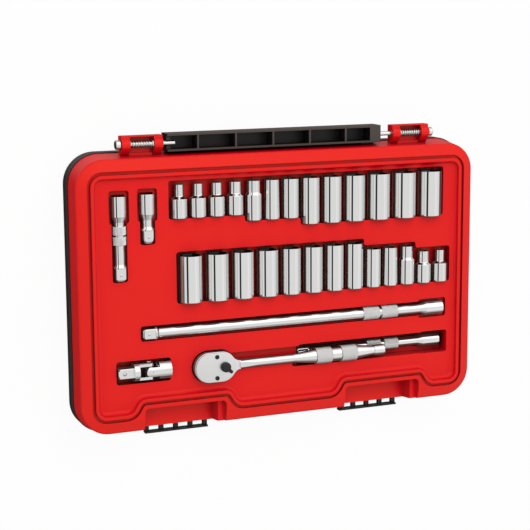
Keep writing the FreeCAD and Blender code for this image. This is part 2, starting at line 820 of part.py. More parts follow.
def coil_path(length):
    # Points and tangents of the spring's centre line along X, a quarter turn apart.
    steps = 4 * spring_turns
    pitch = length / spring_turns
    points = []
    for k in range(steps + 1):
        angle = math.pi / 2 * k
        across = spring_radius * math.cos(angle)
        high = spring_radius * math.sin(angle)
        place = Vector(pitch * k / 4, across, high)
        tangent = Vector(pitch / (2 * math.pi), -high, across)
        tangent.normalize()
        points.append((place, tangent))
    return points


def arc_between(start, corner, stop):
    # Arc tangent to both legs of an even corner.
    middle = (start + stop) * 0.5
    leg = (corner - start).Length
    half = (stop - corner).getAngle(corner - start) / 2
    radius = leg / math.tan(half)
    top = corner - middle
    top.normalize()
    return Part.Arc(start, middle + top * (radius * (1 - math.cos(half))), stop).toShape()


def biarc(p0, t0, p1, t1):
    chord = p1 - p0
    both = t0 + t1
    a = 4 - both.dot(both)
    b = 2 * chord.dot(both)
    c = -chord.dot(chord)
    d = (-b + math.sqrt(b * b - 4 * a * c)) / (2 * a)
    q0 = p0 + t0 * d
    q1 = p1 - t1 * d
    joint = (q0 + q1) * 0.5
    return [arc_between(p0, q0, joint), arc_between(joint, q1, p1)]


def coil(length):
    path = coil_path(length)
    first, first_way = path[0]
    last, last_way = path[-1]
    begin = first - first_way * spring_wire
    edges = [Part.LineSegment(begin, first).toShape()]
    for (p0, t0), (p1, t1) in zip(path, path[1:]):
        edges += biarc(p0, t0, p1, t1)
    edges.append(Part.LineSegment(last, last + last_way * spring_wire).toShape())
    wire = Part.Wire(edges)
    section = Part.Wire([Part.Circle(begin, first_way, spring_wire / 2).toShape()])
    tube = wire.makePipeShell([section], True, False)
    points = [p for edge in edges for p in edge.discretize(6)[:-1]]
    half_turn = len(points) // spring_turns // 2
    gap = min((a - b).Length for i, a in enumerate(points) for b in points[i + half_turn:])
    print("spring least gap to itself %.2f mm" % (gap - spring_wire))
    return tube


def add_hinge_pins():
    head_start = lug_end + seat_gap
    axis = Vector(0, hinge_out, hinge_height)
    spring_start = lug_near + lug_length + seat_gap + washer_length + spring_wire / 2 + seat_gap
    spring_length = lug_far - spring_start - spring_wire / 2 - seat_gap
    spring = coil(spring_length)
    tips = {"right": bar_right - pin_hold_right, "left": -bar_left - pin_hold_left}
    for name, turn, sign in (("right", Rotation(), 1), ("left", Rotation(Vector(0, 0, 1), 180), -1)):
        along = Vector(sign, 0, 0)
        shaft = rod(axis + along * tips[name], along, pin_radius, head_start - tips[name])
        head = turned([(pin_head_radius - 0.6, 0), (pin_head_radius, 0.6),
                       (pin_head_radius, pin_head_length - 0.6), (pin_head_radius - 0.6, pin_head_length)])
        head = laid(head, Rotation(Vector(0, 1, 0), 90 * sign), axis + along * head_start)
        parts["hinge_pin_" + name] = shaft.fuse(head).removeSplitter()
        washer_at = axis + along * (lug_near + lug_length + seat_gap)
        washer = rod(washer_at, along, washer_radius, washer_length)
        parts["hinge_washer_" + name] = washer.cut(rod(washer_at, along, pin_radius, washer_length))
        parts["hinge_spring_" + name] = laid(spring, turn, axis + along * spring_start)


# Tray

def hinge_bracket(sign):
    # Trough open upwards between two round lugs with sloped feet, behind a low outer wall.
    far = hinge_out + bracket_out
    low = hinge_height - bracket_low
    wall_high = hinge_height + bracket_top
    x0, x1 = sorted((sign * lug_near, sign * lug_end))
    base = box(x0, x1, case_depth / 2 - tray_wall, far, low, hinge_height - bracket_ledge)
    solids = [box(x0, x1, far - bracket_wall, far, low, wall_high)]
    touch = lug_radius / math.sqrt(2)
    toe = touch + lug_slope
    foot = [(-touch, touch), (-toe, touch - lug_slope), (-toe, -bracket_low), (0, -bracket_low), (0, 0)]
    for start in (lug_near, lug_far):
        a, b = sorted((sign * start, sign * (start + lug_length)))
        points = [Vector(a, hinge_out + y, hinge_height + z) for y, z in foot]
        solids.append(Part.Face(Part.makePolygon(points + points[:1])).extrude(Vector(lug_length, 0, 0)))
        solids.append(rod(Vector(a, hinge_out, hinge_height), Vector(1, 0, 0), lug_radius, lug_length))
        solids.append(box(a, b, hinge_out, far, low, wall_high))
    a, b = sorted((sign * (lug_near + lug_length), sign * lug_far))
    room = washer_radius + 2 * seat_gap
    trough = box(a, b, hinge_out - trough_in, far - bracket_wall, hinge_height - room, ridge_top)
    inner = Vector(sign * (lug_near - 1), hinge_out, hinge_height)
    bore = rod(inner, Vector(sign, 0, 0), pin_radius + pin_fit, lug_end)
    return base.fuse(solids).removeSplitter().cut([trough, bore])


def add_tray():
    rim_corner = case_corner - rim_width
    rim_wire = rect_wire(2 * (panel_side + panel_rim), 2 * (panel_back + panel_rim), rim_corner, rim_top)
    lower = lofted([case_outline(0, tray_low, 1), case_outline(0, wall_top)])
    edge = lofted([case_outline(0, wall_top), case_outline(edge_round, bevel_low)])
    bevel = lofted([case_outline(edge_round, bevel_low), rim_wire])
    panel_wire = panel_outline(panel_top)
    ridge_wire = panel_wire.makeOffset2D(ridge_width)
    groove_wire = panel_wire.makeOffset2D(panel_rim)
    panel_well = raised(panel_wire, panel_drop)
    ridge = raised(ridge_wire, panel_drop).cut(panel_well)
    groove_wire.translate(Vector(0, 0, groove_floor - panel_top))
    well = raised(groove_wire, ridge_top - groove_floor)
    blank = lower.fuse([edge, bevel]).removeSplitter().cut([well, panel_well]).fuse(ridge).removeSplitter()
    foot = [e for e in blank.Edges if e.BoundBox.ZLength < 0.01 and abs(e.BoundBox.ZMin - panel_top) < 0.01]
    blank = blank.makeFillet(panel_cove, foot)

    hollow_low = case_outline(tray_wall, tray_low - 1, 1)
    hollow = lofted([hollow_low, case_outline(tray_wall, panel_under)])
    recesses = []
    kept = list(cups)
    reach = recess_reach + wall_flare_y + recess_corner
    middle = recess_back - reach / 2
    side = recess_width / 2
    half = side + tray_wall
    for x in recess_places:
        recess = raised(rect_wire(recess_width, reach, recess_corner, recess_floor, x, middle), ridge_top)
        ledge = box(x + side - ledge_width, x + side, recess_back - reach, recess_back, recess_floor,
                    recess_floor + ledge_height)
        recesses.append(recess.cut(ledge))
        kept.append(box(x - half, x + half, front - wall_flare_y, recess_back + tray_wall,
                        recess_floor - tray_wall, panel_top))
    hollow = hollow.cut(kept)
    brackets = [hinge_bracket(sign) for sign in (-1, 1)]
    parts["tool_tray"] = blank.cut([hollow] + recesses).fuse(brackets).removeSplitter().cut(cuts)


# Cover with the hinge bar and the latch beds

def hinge_bar():
    outer = box(bar_left, bar_right, bar_near, bar_far, bar_low, bar_high)
    floor = bar_low + bar_flange
    ribs = [bar_first + bar_first_cell + k * bar_pitch for k in range(bar_cells - 1)]
    cells = []
    for start, stop in zip([bar_first - bar_rib] + ribs, ribs + [bar_last]):
        cells.append(box(start + bar_rib, stop, bar_near + bar_flange, bar_far - bar_flange, floor, bar_high))
    room = pin_radius + bar_slot_gap
    cells.append(box(bar_left - 1, bar_first + 1, bar_near + bar_flange, bar_far - bar_flange,
                     hinge_height, bar_high))
    for start in (bar_left - 1, bar_last):
        cells.append(rod(Vector(start, hinge_out, hinge_height), Vector(1, 0, 0), room, bar_end_block + 1))
    back = case_depth / 2 + wall_flare_y
    shelf = box(bar_first, bar_last, back - cover_wall, bar_near + bar_flange, bar_shelf_low,
                cover_height - parting_gap)
    web = box(bar_first, bar_last, bar_near, bar_near + bar_flange, bar_shelf_low, bar_low + 1)
    return outer.cut(cells).fuse([shelf, web]).removeSplitter()


def add_cover():
    rise = cover_height - cover_round
    base = case_outline(cover_round - cover_proud, 0, 1)
    shell = lofted([base, case_outline(-cover_proud, cover_round, 1)])
    shell = shell.fuse(raised(case_outline(-cover_proud, cover_round, 1), rise)).removeSplitter()
    hollow = raised(case_outline(cover_wall + cover_round - cover_proud, cover_wall, 1), cover_height)
    half = latch_width / 2 + latch_side_gap
    bed_front = front - wall_flare_y - cover_proud
    bed_back = latch_barrel + latch_bed_gap - latch_axis_in
    bed_floor = latch_axis_height - latch_arm_top - latch_arm_thickness - latch_bed_gap
    beds = []
    blocks = []
    for x in latch_places:
        block = half + 2 * latch_bed_wall
        blocks.append(box(x - block, x + block, bed_front + cover_round, bed_back + latch_bed_wall,
                          cover_wall, cover_height))
        beds.append(box(x - half, x + half, bed_front - 1, bed_back, bed_floor, cover_height + 1))
        beds.append(rod(Vector(x - half - latch_bed_wall, -latch_axis_in, latch_axis_height), Vector(1, 0, 0),
                        latch_pin_radius, 2 * (half + latch_bed_wall)))
    parts["case_cover"] = shell.cut(hollow).fuse(blocks + [hinge_bar()]).removeSplitter().cut(beds)
    pins = []
    for x in latch_places:
        start = Vector(x - half - latch_bed_wall, -latch_axis_in, latch_axis_height)
        pins.append(rod(start, Vector(1, 0, 0), latch_pin_radius, 2 * (half + latch_bed_wall)))
    parts["latch_pins"] = Part.Compound(pins)


def add_latches():
    top = latch_axis_height - latch_arm_top
    low = top - latch_arm_thickness
    tip = -latch_axis_in - latch_reach
    heel = -latch_axis_in + latch_barrel * 0.6
    for name, x in zip(("left", "right"), latch_places):
        x0 = x - latch_width / 2
        x1 = x + latch_width / 2
        arm = box(x0, x1, tip, heel, low, top)
        lip = box(x0, x1, tip, tip + latch_lip, low, latch_axis_height + latch_lip_rise)
        axis = Vector(x0, -latch_axis_in, latch_axis_height)
        barrel = rod(axis, Vector(1, 0, 0), latch_barrel, latch_width)
        pitch = (latch_width - latch_bar) / latch_windows
        holes = [rod(axis, Vector(1, 0, 0), latch_pin_radius + pin_fit, latch_width)]
        window_front = tip + latch_rail
        window_back = -latch_axis_in - latch_barrel - 0.4
        for k in range(latch_windows):
            start = x0 + latch_bar + k * pitch
            holes.append(box(start, start + pitch - latch_bar, window_front, window_back, low - 1, top + 1))
        parts["latch_" + name] = arm.fuse([lip, barrel]).removeSplitter().cut(holes)


def main():
    add_sockets()
    add_extensions()
    add_ratchet()
    add_universal_joint()
    add_hinge_pins()
    add_latches()
    add_cover()
    add_tray()
    os.makedirs("parts", exist_ok=True)
    for name, shape in parts.items():
        if not shape.isValid():
            print("not valid:", name)
        print("%s: %d solids, %.1f mm3" % (name, len(shape.Solids), shape.Volume))
        shape.exportStep("parts/%s.step" % name)


main()
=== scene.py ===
import json
import math

import bmesh
import bpy
from mathutils import Matrix, Vector


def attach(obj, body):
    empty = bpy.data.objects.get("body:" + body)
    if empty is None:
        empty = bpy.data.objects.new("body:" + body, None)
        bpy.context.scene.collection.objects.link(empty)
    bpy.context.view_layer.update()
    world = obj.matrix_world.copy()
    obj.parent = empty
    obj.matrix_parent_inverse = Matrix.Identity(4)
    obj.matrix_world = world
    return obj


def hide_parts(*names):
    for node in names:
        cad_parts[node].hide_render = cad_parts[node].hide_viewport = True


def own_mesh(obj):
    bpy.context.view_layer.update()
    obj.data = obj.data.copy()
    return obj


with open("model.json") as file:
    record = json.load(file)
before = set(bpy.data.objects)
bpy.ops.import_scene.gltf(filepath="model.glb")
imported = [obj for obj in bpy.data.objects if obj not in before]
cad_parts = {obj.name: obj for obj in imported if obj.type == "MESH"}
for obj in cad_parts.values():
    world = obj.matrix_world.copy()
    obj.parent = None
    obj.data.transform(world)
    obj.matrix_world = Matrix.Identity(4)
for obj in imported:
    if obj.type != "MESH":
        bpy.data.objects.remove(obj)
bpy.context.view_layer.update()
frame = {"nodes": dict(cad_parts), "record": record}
nodes = frame["nodes"]
mm = 0.001
print("frame loaded:", len(nodes), "solids")


# camera and studio

shot = {
    "place": (-0.53186, 0.26437, 1.30632),
    "right": (0.92623, -0.00592, 0.37692),
    "up": (0.07188, 0.98431, -0.16117),
    "forward": (0.37005, -0.17637, -0.91212),
    "lens": 101.887,
    "sensor": 36,
    "clip": (0.05, 50),
}


def makeCamera():
    data = bpy.data.cameras.new("photoCamera")
    data.lens = shot["lens"]
    data.sensor_width = shot["sensor"]
    data.clip_start, data.clip_end = shot["clip"]
    cam = bpy.data.objects.new("photoCamera", data)
    bpy.context.scene.collection.objects.link(cam)
    right, up, forward = (Vector(shot[key]) for key in ("right", "up", "forward"))
    turn = Matrix((right, up, -forward)).transposed()
    cam.matrix_world = Matrix.Translation(shot["place"]) @ turn.to_4x4()
    bpy.context.scene.camera = cam


studio = {
    "fill": 0.74,         # even light from all round
    "keyPlace": (0.10, 0.80, 1.50),
    "keyAim": (0.0, 0.0, 0.03),
    "keySize": 1.1,
    "keyPower": 13.0,
    "floorSize": 6.0,
    "floorDrop": 0.0006,  # keeps the floor clear of the cover's flat back
    "floorShade": 0.9,
    "floorRough": 0.9,
    "glow": 0.94,         # share of the floor that is plain white to the camera
    # what the chrome sees: where a change starts and stops, and the brightness at either end
    "horizon": (-0.02, 0.34, 0.02, 0.80),
    "nearSide": (-0.86, -0.58, 0.46, 1.0),
    "farSide": (0.08, 0.42, 0.0, 0.46),
    "seam": -47.0,        # dark seam between two softboxes, in degrees from straight up
    "seamHalf": (7.0, 11.0),
    "seamDark": 0.03,
    "streak": 38.0,       # brighter stripe, in the same degrees
    "streakHalf": (4.0, 16.0),
    "streakBright": 1.12,
}


def ramp(tree, source, low, high, toLow, toHigh):
    node = tree.nodes.new("ShaderNodeMapRange")
    node.interpolation_type = "SMOOTHSTEP"
    node.inputs["From Min"].default_value = low
    node.inputs["From Max"].default_value = high
    node.inputs["To Min"].default_value = toLow
    node.inputs["To Max"].default_value = toHigh
    tree.links.new(source, node.inputs["Value"])
    return node.outputs[0]


def sums(tree, kind, first, second=None):
    node = tree.nodes.new("ShaderNodeMath")
    node.operation = kind
    for socket, value in zip(node.inputs, (first, second)):
        if value is None:
            continue
        if isinstance(value, float):
            socket.default_value = value
        else:
            tree.links.new(value, socket)
    return node.outputs[0]


def stripe(tree, angle, place, half, inside):
    # a band of the room at an angle, with soft sides
    away = sums(tree, "ABSOLUTE", sums(tree, "SUBTRACT", angle, math.radians(place)))
    return ramp(tree, away, math.radians(half[0]), math.radians(half[1]), inside, 1.0)


def makeRoom():
    # what the camera and the chrome see: white to the camera, a pale studio to the metal
    world = bpy.data.worlds.new("studio")
    bpy.context.scene.world = world
    world.use_nodes = True
    tree = world.node_tree
    tree.nodes.clear()
    new = tree.nodes.new
    link = tree.links.new
    out = new("ShaderNodeOutputWorld")
    even = new("ShaderNodeBackground")
    even.inputs["Strength"].default_value = studio["fill"]
    shown = new("ShaderNodeBackground")
    shown.inputs["Color"].default_value = (1, 1, 1, 1)
    path = new("ShaderNodeLightPath")
    mix = new("ShaderNodeMixShader")
    seen = sums(tree, "MAXIMUM", path.outputs["Is Camera Ray"], path.outputs["Is Glossy Ray"])
    link(seen, mix.inputs["Fac"])
    link(even.outputs[0], mix.inputs[1])
    link(shown.outputs[0], mix.inputs[2])
    link(mix.outputs[0], out.inputs["Surface"])

    coord = new("ShaderNodeTexCoord")
    split = new("ShaderNodeSeparateXYZ")
    link(coord.outputs["Generated"], split.inputs[0])
    x, y, z = (split.outputs[label] for label in ("X", "Y", "Z"))
    lift = ramp(tree, z, *studio["horizon"])
    dim = ramp(tree, y, *studio["nearSide"])
    glow = ramp(tree, y, *studio["farSide"])
    angle = sums(tree, "ARCTAN2", x, z)
    seam = stripe(tree, angle, studio["seam"], studio["seamHalf"], studio["seamDark"])
    streak = stripe(tree, angle, studio["streak"], studio["streakHalf"], studio["streakBright"])
    room = sums(tree, "MULTIPLY", sums(tree, "ADD", lift, glow), dim)
    room = sums(tree, "MULTIPLY", sums(tree, "MULTIPLY", room, seam), streak)
    link(sums(tree, "MAXIMUM", room, path.outputs["Is Camera Ray"]), shown.inputs["Strength"])


def makeKey():
    lamp = bpy.data.lights.new("topSoftbox", "AREA")
    lamp.shape = "SQUARE"
    lamp.size = studio["keySize"]
    lamp.energy = studio["keyPower"]
    key = bpy.data.objects.new("topSoftbox", lamp)
    key.location = studio["keyPlace"]
    aim = Vector(studio["keyAim"]) - key.location
    key.rotation_euler = aim.to_track_quat("-Z", "Y").to_euler()
    key.visible_glossy = False
    bpy.context.scene.collection.objects.link(key)


def makeFloor():
    half = studio["floorSize"] / 2
    mesh = bpy.data.meshes.new("floor")
    corners = [(-half, -half, 0), (half, -half, 0), (half, half, 0), (-half, half, 0)]
    mesh.from_pydata(corners, [], [(0, 1, 2, 3)])
    floor = bpy.data.objects.new("floor", mesh)
    floor.location.z = -studio["floorDrop"]
    floor.visible_glossy = False
    bpy.context.scene.collection.objects.link(floor)
    pale = bpy.data.materials.new("paleFloor")
    pale.use_nodes = True
    tree = pale.node_tree
    bsdf = tree.nodes["Principled BSDF"]
    bsdf.inputs["Base Color"].default_value = (*[studio["floorShade"]] * 3, 1)
    bsdf.inputs["Roughness"].default_value = studio["floorRough"]
    glow = tree.nodes.new("ShaderNodeEmission")
    path = tree.nodes.new("ShaderNodeLightPath")
    mix = tree.nodes.new("ShaderNodeMixShader")
    plain = sums(tree, "MULTIPLY", path.outputs["Is Camera Ray"], studio["glow"])
    tree.links.new(plain, mix.inputs["Fac"])
    tree.links.new(bsdf.outputs[0], mix.inputs[1])
    tree.links.new(glow.outputs[0], mix.inputs[2])
    tree.links.new(mix.outputs[0], tree.nodes["Material Output"].inputs["Surface"])
    mesh.materials.append(pale)
    bpy.context.scene.view_settings.view_transform = "Standard"
    print("studio set")


# finishes

def nodeGroup(name, inputs, outputs):
    tree = bpy.data.node_groups.new(name, "ShaderNodeTree")
    for label, kind, value in inputs:
        socket = tree.interface.new_socket(label, in_out="INPUT", socket_type=kind)
        if value is not None:
            socket.default_value = value
    for label, kind in outputs:
        tree.interface.new_socket(label, in_out="OUTPUT", socket_type=kind)
    return tree, tree.nodes.new("NodeGroupInput"), tree.nodes.new("NodeGroupOutput")


def makeGrainGroup():
    # fine skin of moulded plastic and blasted metal, with broad uneven patches
    tree, start, end = nodeGroup(
        "fineGrain",
        [("Vector", "NodeSocketVector", None), ("Scale", "NodeSocketFloat", 1500.0),
         ("Patch Scale", "NodeSocketFloat", 12.0)],
        [("Height", "NodeSocketFloat"), ("Patch", "NodeSocketFloat")],
    )
    grain = tree.nodes.new("ShaderNodeTexNoise")
    grain.inputs["Detail"].default_value = 3.0
    patch = tree.nodes.new("ShaderNodeTexNoise")
    patch.inputs["Detail"].default_value = 2.0
    for noise, label in ((grain, "Scale"), (patch, "Patch Scale")):
        tree.links.new(start.outputs["Vector"], noise.inputs["Vector"])
        tree.links.new(start.outputs[label], noise.inputs["Scale"])
    tree.links.new(grain.outputs["Fac"], end.inputs["Height"])
    tree.links.new(patch.outputs["Fac"], end.inputs["Patch"])
    return tree


def makeScuffGroup():
    # hair-thin marks from handling, stretched one way
    tree, start, end = nodeGroup(
        "handlingMarks",
        [("Vector", "NodeSocketVector", None), ("Density", "NodeSocketFloat", 0.6)],
        [("Mask", "NodeSocketFloat")],
    )
    stretch = tree.nodes.new("ShaderNodeMapping")
    stretch.inputs["Rotation"].default_value = (0.4, 0.7, 0.5)
    stretch.inputs["Scale"].default_value = (900.0, 60.0, 300.0)
    noise = tree.nodes.new("ShaderNodeTexNoise")
    noise.inputs["Scale"].default_value = 1.0
    noise.inputs["Detail"].default_value = 2.0
    pick = tree.nodes.new("ShaderNodeMapRange")
    pick.inputs["From Max"].default_value = 0.85
    tree.links.new(start.outputs["Vector"], stretch.inputs["Vector"])
    tree.links.new(stretch.outputs["Vector"], noise.inputs["Vector"])
    tree.links.new(start.outputs["Density"], pick.inputs["From Min"])
    tree.links.new(noise.outputs["Fac"], pick.inputs["Value"])
    tree.links.new(pick.outputs[0], end.inputs["Mask"])
    return tree


finishes = {
    "redPlastic": {
        "color": (0.84, 0.008, 0.011), "dark": (0.81, 0.006, 0.010), "rough": (0.34, 0.42), "grain": 1400.0,
        "bump": 0.05, "specular": 0.38, "bevel": 0.9, "metal": 0.0, "scuff": 0.62,
        "glossTint": (1.0, 0.86, 0.48),
        # painted shade: deep reds down to near black in pockets, grooves and along the ridge's foot
        "creviceShade": ((0.02, (0.030, 0.0, 0.0005)), (0.20, (0.34, 0.0, 0.005)),
                    (0.48, (0.66, 0.0003, 0.010)), (0.85, (0.78, 0.0006, 0.011))),
        # painted reflection: the dark colour that reflections show of this plastic
        "paintedReflection": (0.11, 0.062, 0.06),
    },
    "darkPlastic": {
        "color": (0.074, 0.055, 0.047), "dark": (0.062, 0.046, 0.040), "rough": (0.42, 0.55), "grain": 1100.0,
        "bump": 0.10, "specular": 0.35, "bevel": 0.7, "metal": 0.0, "scuff": 0.62,
        # painted shade: near black in the cover's hollows and recesses
        "creviceShade": ((0.0, (0.004, 0.003, 0.003)), (0.45, (0.010, 0.007, 0.006)),
                    (0.75, (0.035, 0.027, 0.024))),
    },
    "blackPlastic": {
        "color": (0.012, 0.012, 0.012), "dark": (0.007, 0.007, 0.008), "rough": (0.38, 0.5), "grain": 1300.0,
        "bump": 0.08, "specular": 0.4, "bevel": 0.4, "metal": 0.0, "scuff": 0.62,
    },
    "boreSteel": {
        "color": (0.075, 0.073, 0.07), "dark": (0.05, 0.049, 0.047), "rough": (0.30, 0.42), "grain": 900.0,
        "bump": 0.05, "specular": 0.5, "bevel": 0.0, "metal": 1.0, "scuff": 0.66,
    },
    "chrome": {
        "color": (0.86, 0.86, 0.85), "dark": (0.83, 0.83, 0.82), "rough": (0.025, 0.06), "grain": 700.0,
        "bump": 0.004, "specular": 0.5, "bevel": 0.0, "metal": 1.0, "scuff": 0.70,
    },
    "satinSteel": {
        "color": (0.90, 0.895, 0.885), "dark": (0.84, 0.835, 0.825), "rough": (0.30, 0.38), "grain": 2600.0,
        "bump": 0.10, "specular": 0.5, "bevel": 0.0, "metal": 1.0, "scuff": 0.66,
    },
    "plateSteel": {
        "color": (0.86, 0.855, 0.84), "dark": (0.80, 0.795, 0.78), "rough": (0.38, 0.46), "grain": 2600.0,
        "bump": 0.06, "specular": 0.5, "bevel": 0.0, "metal": 1.0, "scuff": 0.66,
    },
    "springSteel": {
        "color": (0.90, 0.88, 0.85), "dark": (0.82, 0.80, 0.77), "rough": (0.26, 0.36), "grain": 900.0,
        "bump": 0.02, "specular": 0.5, "bevel": 0.0, "metal": 1.0, "scuff": 0.62,
    },
    "blackSteel": {
        "color": (0.030, 0.029, 0.028), "dark": (0.018, 0.018, 0.018), "rough": (0.28, 0.40), "grain": 1500.0,
        "bump": 0.05, "specular": 0.5, "bevel": 0.2, "metal": 0.6, "scuff": 0.62,
    },
}
surface = {
    "shadeReach": 0.022,    # how far around a point the painted crevice shade looks
    "shadeSamples": 8,
    "shadeEnd": 0.985,      # openness at which a face is free of painted shade and has its plain colour
    "paintedReflectionShare": 0.85,      # how far a reflection takes the painted dark colour
    "grainDepth": 0.0004,
    "bevelSamples": 6,
}
made = {}


def paintCreviceShade(tree, shade, stops):
    # painted shade: pockets and grooves are painted darker than open faces, the more so the more closed in
    # they are
    near = tree.nodes.new("ShaderNodeAmbientOcclusion")
    near.samples = surface["shadeSamples"]
    near.inputs["Distance"].default_value = surface["shadeReach"]
    openness = near.outputs["AO"]
    scale = tree.nodes.new("ShaderNodeValToRGB")
    while len(scale.color_ramp.elements) < len(stops):
        scale.color_ramp.elements.new(0.5)
    for element, (place, color) in zip(scale.color_ramp.elements, stops):
        element.position = place
        element.color = (*color, 1)
    tree.links.new(openness, scale.inputs["Fac"])
    blend = tree.nodes.new("ShaderNodeMix")
    blend.data_type = "RGBA"
    share = ramp(tree, openness, stops[-1][0], surface["shadeEnd"], 0.0, 1.0)
    tree.links.new(share, blend.inputs["Factor"])
    tree.links.new(scale.outputs["Color"], blend.inputs["A"])
    tree.links.new(shade, blend.inputs["B"])
    return blend.outputs["Result"]


def paintDarkReflection(tree, shade, color):
    # painted reflection: glossy rays see the plastic in a dark muted colour, so it shows only faintly in the
    # polished tools beside it
    path = tree.nodes.new("ShaderNodeLightPath")
    blend = tree.nodes.new("ShaderNodeMix")
    blend.data_type = "RGBA"
    blend.inputs["B"].default_value = (*color, 1)
    share = sums(tree, "MULTIPLY", path.outputs["Is Glossy Ray"], surface["paintedReflectionShare"])
    tree.links.new(share, blend.inputs["Factor"])
    tree.links.new(shade, blend.inputs["A"])
    return blend.outputs["Result"]


def finish(name):
    if name in made:
        return made[name]
    look = finishes[name]
    mat = bpy.data.materials.new(name)
    mat.use_nodes = True
    tree = mat.node_tree
    new = tree.nodes.new
    link = tree.links.new
    bsdf = tree.nodes["Principled BSDF"]
    bsdf.inputs["Metallic"].default_value = look["metal"]
    bsdf.inputs["Specular IOR Level"].default_value = look["specular"]
    if "glossTint" in look:
        bsdf.inputs["Specular Tint"].default_value = (*look["glossTint"], 1)
    coord = new("ShaderNodeTexCoord")
    grain = new("ShaderNodeGroup")
    grain.node_tree = groups["grain"]
    grain.inputs["Scale"].default_value = look["grain"]
    link(coord.outputs["Object"], grain.inputs["Vector"])
    scuff = new("ShaderNodeGroup")
    scuff.node_tree = groups["scuff"]
    scuff.inputs["Density"].default_value = look["scuff"]
    link(coord.outputs["Object"], scuff.inputs["Vector"])
    tint = new("ShaderNodeMix")
    tint.data_type = "RGBA"
    tint.inputs["A"].default_value = (*look["color"], 1)
    tint.inputs["B"].default_value = (*look["dark"], 1)
    link(grain.outputs["Patch"], tint.inputs["Factor"])
    shade = tint.outputs["Result"]
    # painted shade: crevices darkened by how closed in they are
    if "creviceShade" in look:
        shade = paintCreviceShade(tree, shade, look["creviceShade"])
    # painted reflection: glossy rays get a dark muted colour
    if "paintedReflection" in look:
        shade = paintDarkReflection(tree, shade, look["paintedReflection"])
    link(shade, bsdf.inputs["Base Color"])
    rough = new("ShaderNodeMapRange")
    rough.inputs["To Min"].default_value = look["rough"][0]
    rough.inputs["To Max"].default_value = look["rough"][1]
    link(scuff.outputs["Mask"], rough.inputs["Value"])
    link(rough.outputs[0], bsdf.inputs["Roughness"])
    bump = new("ShaderNodeBump")
    bump.inputs["Strength"].default_value = look["bump"]
    bump.inputs["Distance"].default_value = surface["grainDepth"]
    link(grain.outputs["Height"], bump.inputs["Height"])
    if look["bevel"]:
        soft = new("ShaderNodeBevel")
        soft.samples = surface["bevelSamples"]
        soft.inputs["Radius"].default_value = look["bevel"] * mm
        link(soft.outputs[0], bump.inputs["Normal"])
    link(bump.outputs[0], bsdf.inputs["Normal"])
    made[name] = mat
    return mat


# shapes shared by the tools

around = 72               # points in every ring
smoothAngle = 34.0        # sharper edges than this stay sharp
weldGap = 1e-6
tiny = 1e-9


def roundRing(radius):
    turns = [2 * math.pi * k / around for k in range(around)]
    return [(radius * math.cos(turn), radius * math.sin(turn)) for turn in turns]


def hexRing(flats):
    ring = []
    for k in range(around):
        turn = 2 * math.pi * k / around
        reach = flats / 2 / math.cos(turn % (math.pi / 3) - math.pi / 6)
        ring.append((reach * math.cos(turn), reach * math.sin(turn)))
    return ring


def squareRing(side, corner):
    ring = []
    half = side / 2
    inner = half - corner
    for k in range(around):
        turn = 2 * math.pi * k / around
        c, s = abs(math.cos(turn)), abs(math.sin(turn))
        reach = half / max(c, s)
        if min(reach * c, reach * s) > inner:
            lean = inner * (c + s)
            reach = lean + math.sqrt(lean * lean - 2 * inner * inner + corner * corner)
        ring.append((reach * math.cos(turn), reach * math.sin(turn)))
    return ring


def blockRing(halfA, halfB, corner):
    # rounded rectangle, sampled by direction like the rings above
    ring = []
    inA, inB = halfA - corner, halfB - corner
    for k in range(around):
        turn = 2 * math.pi * k / around
        c, s = math.cos(turn), math.sin(turn)
        reach = min(halfA / max(abs(c), tiny), halfB / max(abs(s), tiny))
        if reach * abs(c) > inA and reach * abs(s) > inB:
            lean = inA * abs(c) + inB * abs(s)
            reach = lean + math.sqrt(max(lean * lean - inA * inA - inB * inB + corner * corner, 0.0))
        ring.append((reach * c, reach * s))
    return ring


def softLine(points, steps=4, guard=0.12, longRun=6, most=0.48):
    # points are (radius, height, edge round); each corner becomes an arc, with a guard ring on long runs
    # most is the share of a run that an arc may take
    line = []
    for i, (r, h, soft) in enumerate(points):
        here = Vector((r, h))
        if soft <= 0 or i in (0, len(points) - 1):
            line.append(here)
            continue
        back = Vector(points[i - 1][:2]) - here
        ahead = Vector(points[i + 1][:2]) - here
        bend = math.pi - back.angle(ahead)
        reach = min(soft * math.tan(bend / 2), back.length * most, ahead.length * most)
        radius = reach / math.tan(bend / 2)
        a = here + back.normalized() * reach
        b = here + ahead.normalized() * reach
        centre = here + (back.normalized() + ahead.normalized()).normalized() * math.hypot(radius, reach)
        start = a - centre
        stop = b - centre
        sweep = start.angle_signed(stop)
        for k in range(steps + 1):
            t = -sweep * k / steps
            line.append(centre + Vector((start.x * math.cos(t) - start.y * math.sin(t),
                                         start.x * math.sin(t) + start.y * math.cos(t))))
    guarded = [line[0]]
    for a, b in zip(line, line[1:]):
        gap = (b - a).length
        if gap > longRun * guard:
            guarded += [a.lerp(b, guard / gap), b.lerp(a, guard / gap)]
        guarded.append(b)
    return [(p.x, p.y) for p in guarded]


def turnedRings(points):
    return [(h, roundRing(r)) for r, h in softLine(points)]


alongY = Matrix.Rotation(math.radians(-90), 4, "X")
alongX = Matrix.Rotation(math.radians(90), 4, "Y")


def setAt(x, y, z, turn):
    return Matrix.Translation((x, y, z)) @ turn


def intoScene(name, mesh, smooth):
    mesh.polygons.foreach_set("use_smooth", [True] * len(mesh.polygons))
    mesh.set_sharp_from_angle(angle=math.radians(smooth))
    piece = bpy.data.objects.new(name, mesh)
    bpy.context.scene.collection.objects.link(piece)
    return piece


def makePiece(name, verts, faces, look):
    mesh = bpy.data.meshes.new(name)
    mesh.from_pydata([Vector(v) * mm for v in verts], [], faces)
    mesh.validate()
    mesh.materials.append(finish(look))
    work = bmesh.new()
    work.from_mesh(mesh)
    bmesh.ops.remove_doubles(work, verts=work.verts, dist=weldGap)
    bmesh.ops.recalc_face_normals(work, faces=work.faces)
    work.to_mesh(mesh)
    work.free()
    return intoScene(name, mesh, smoothAngle)


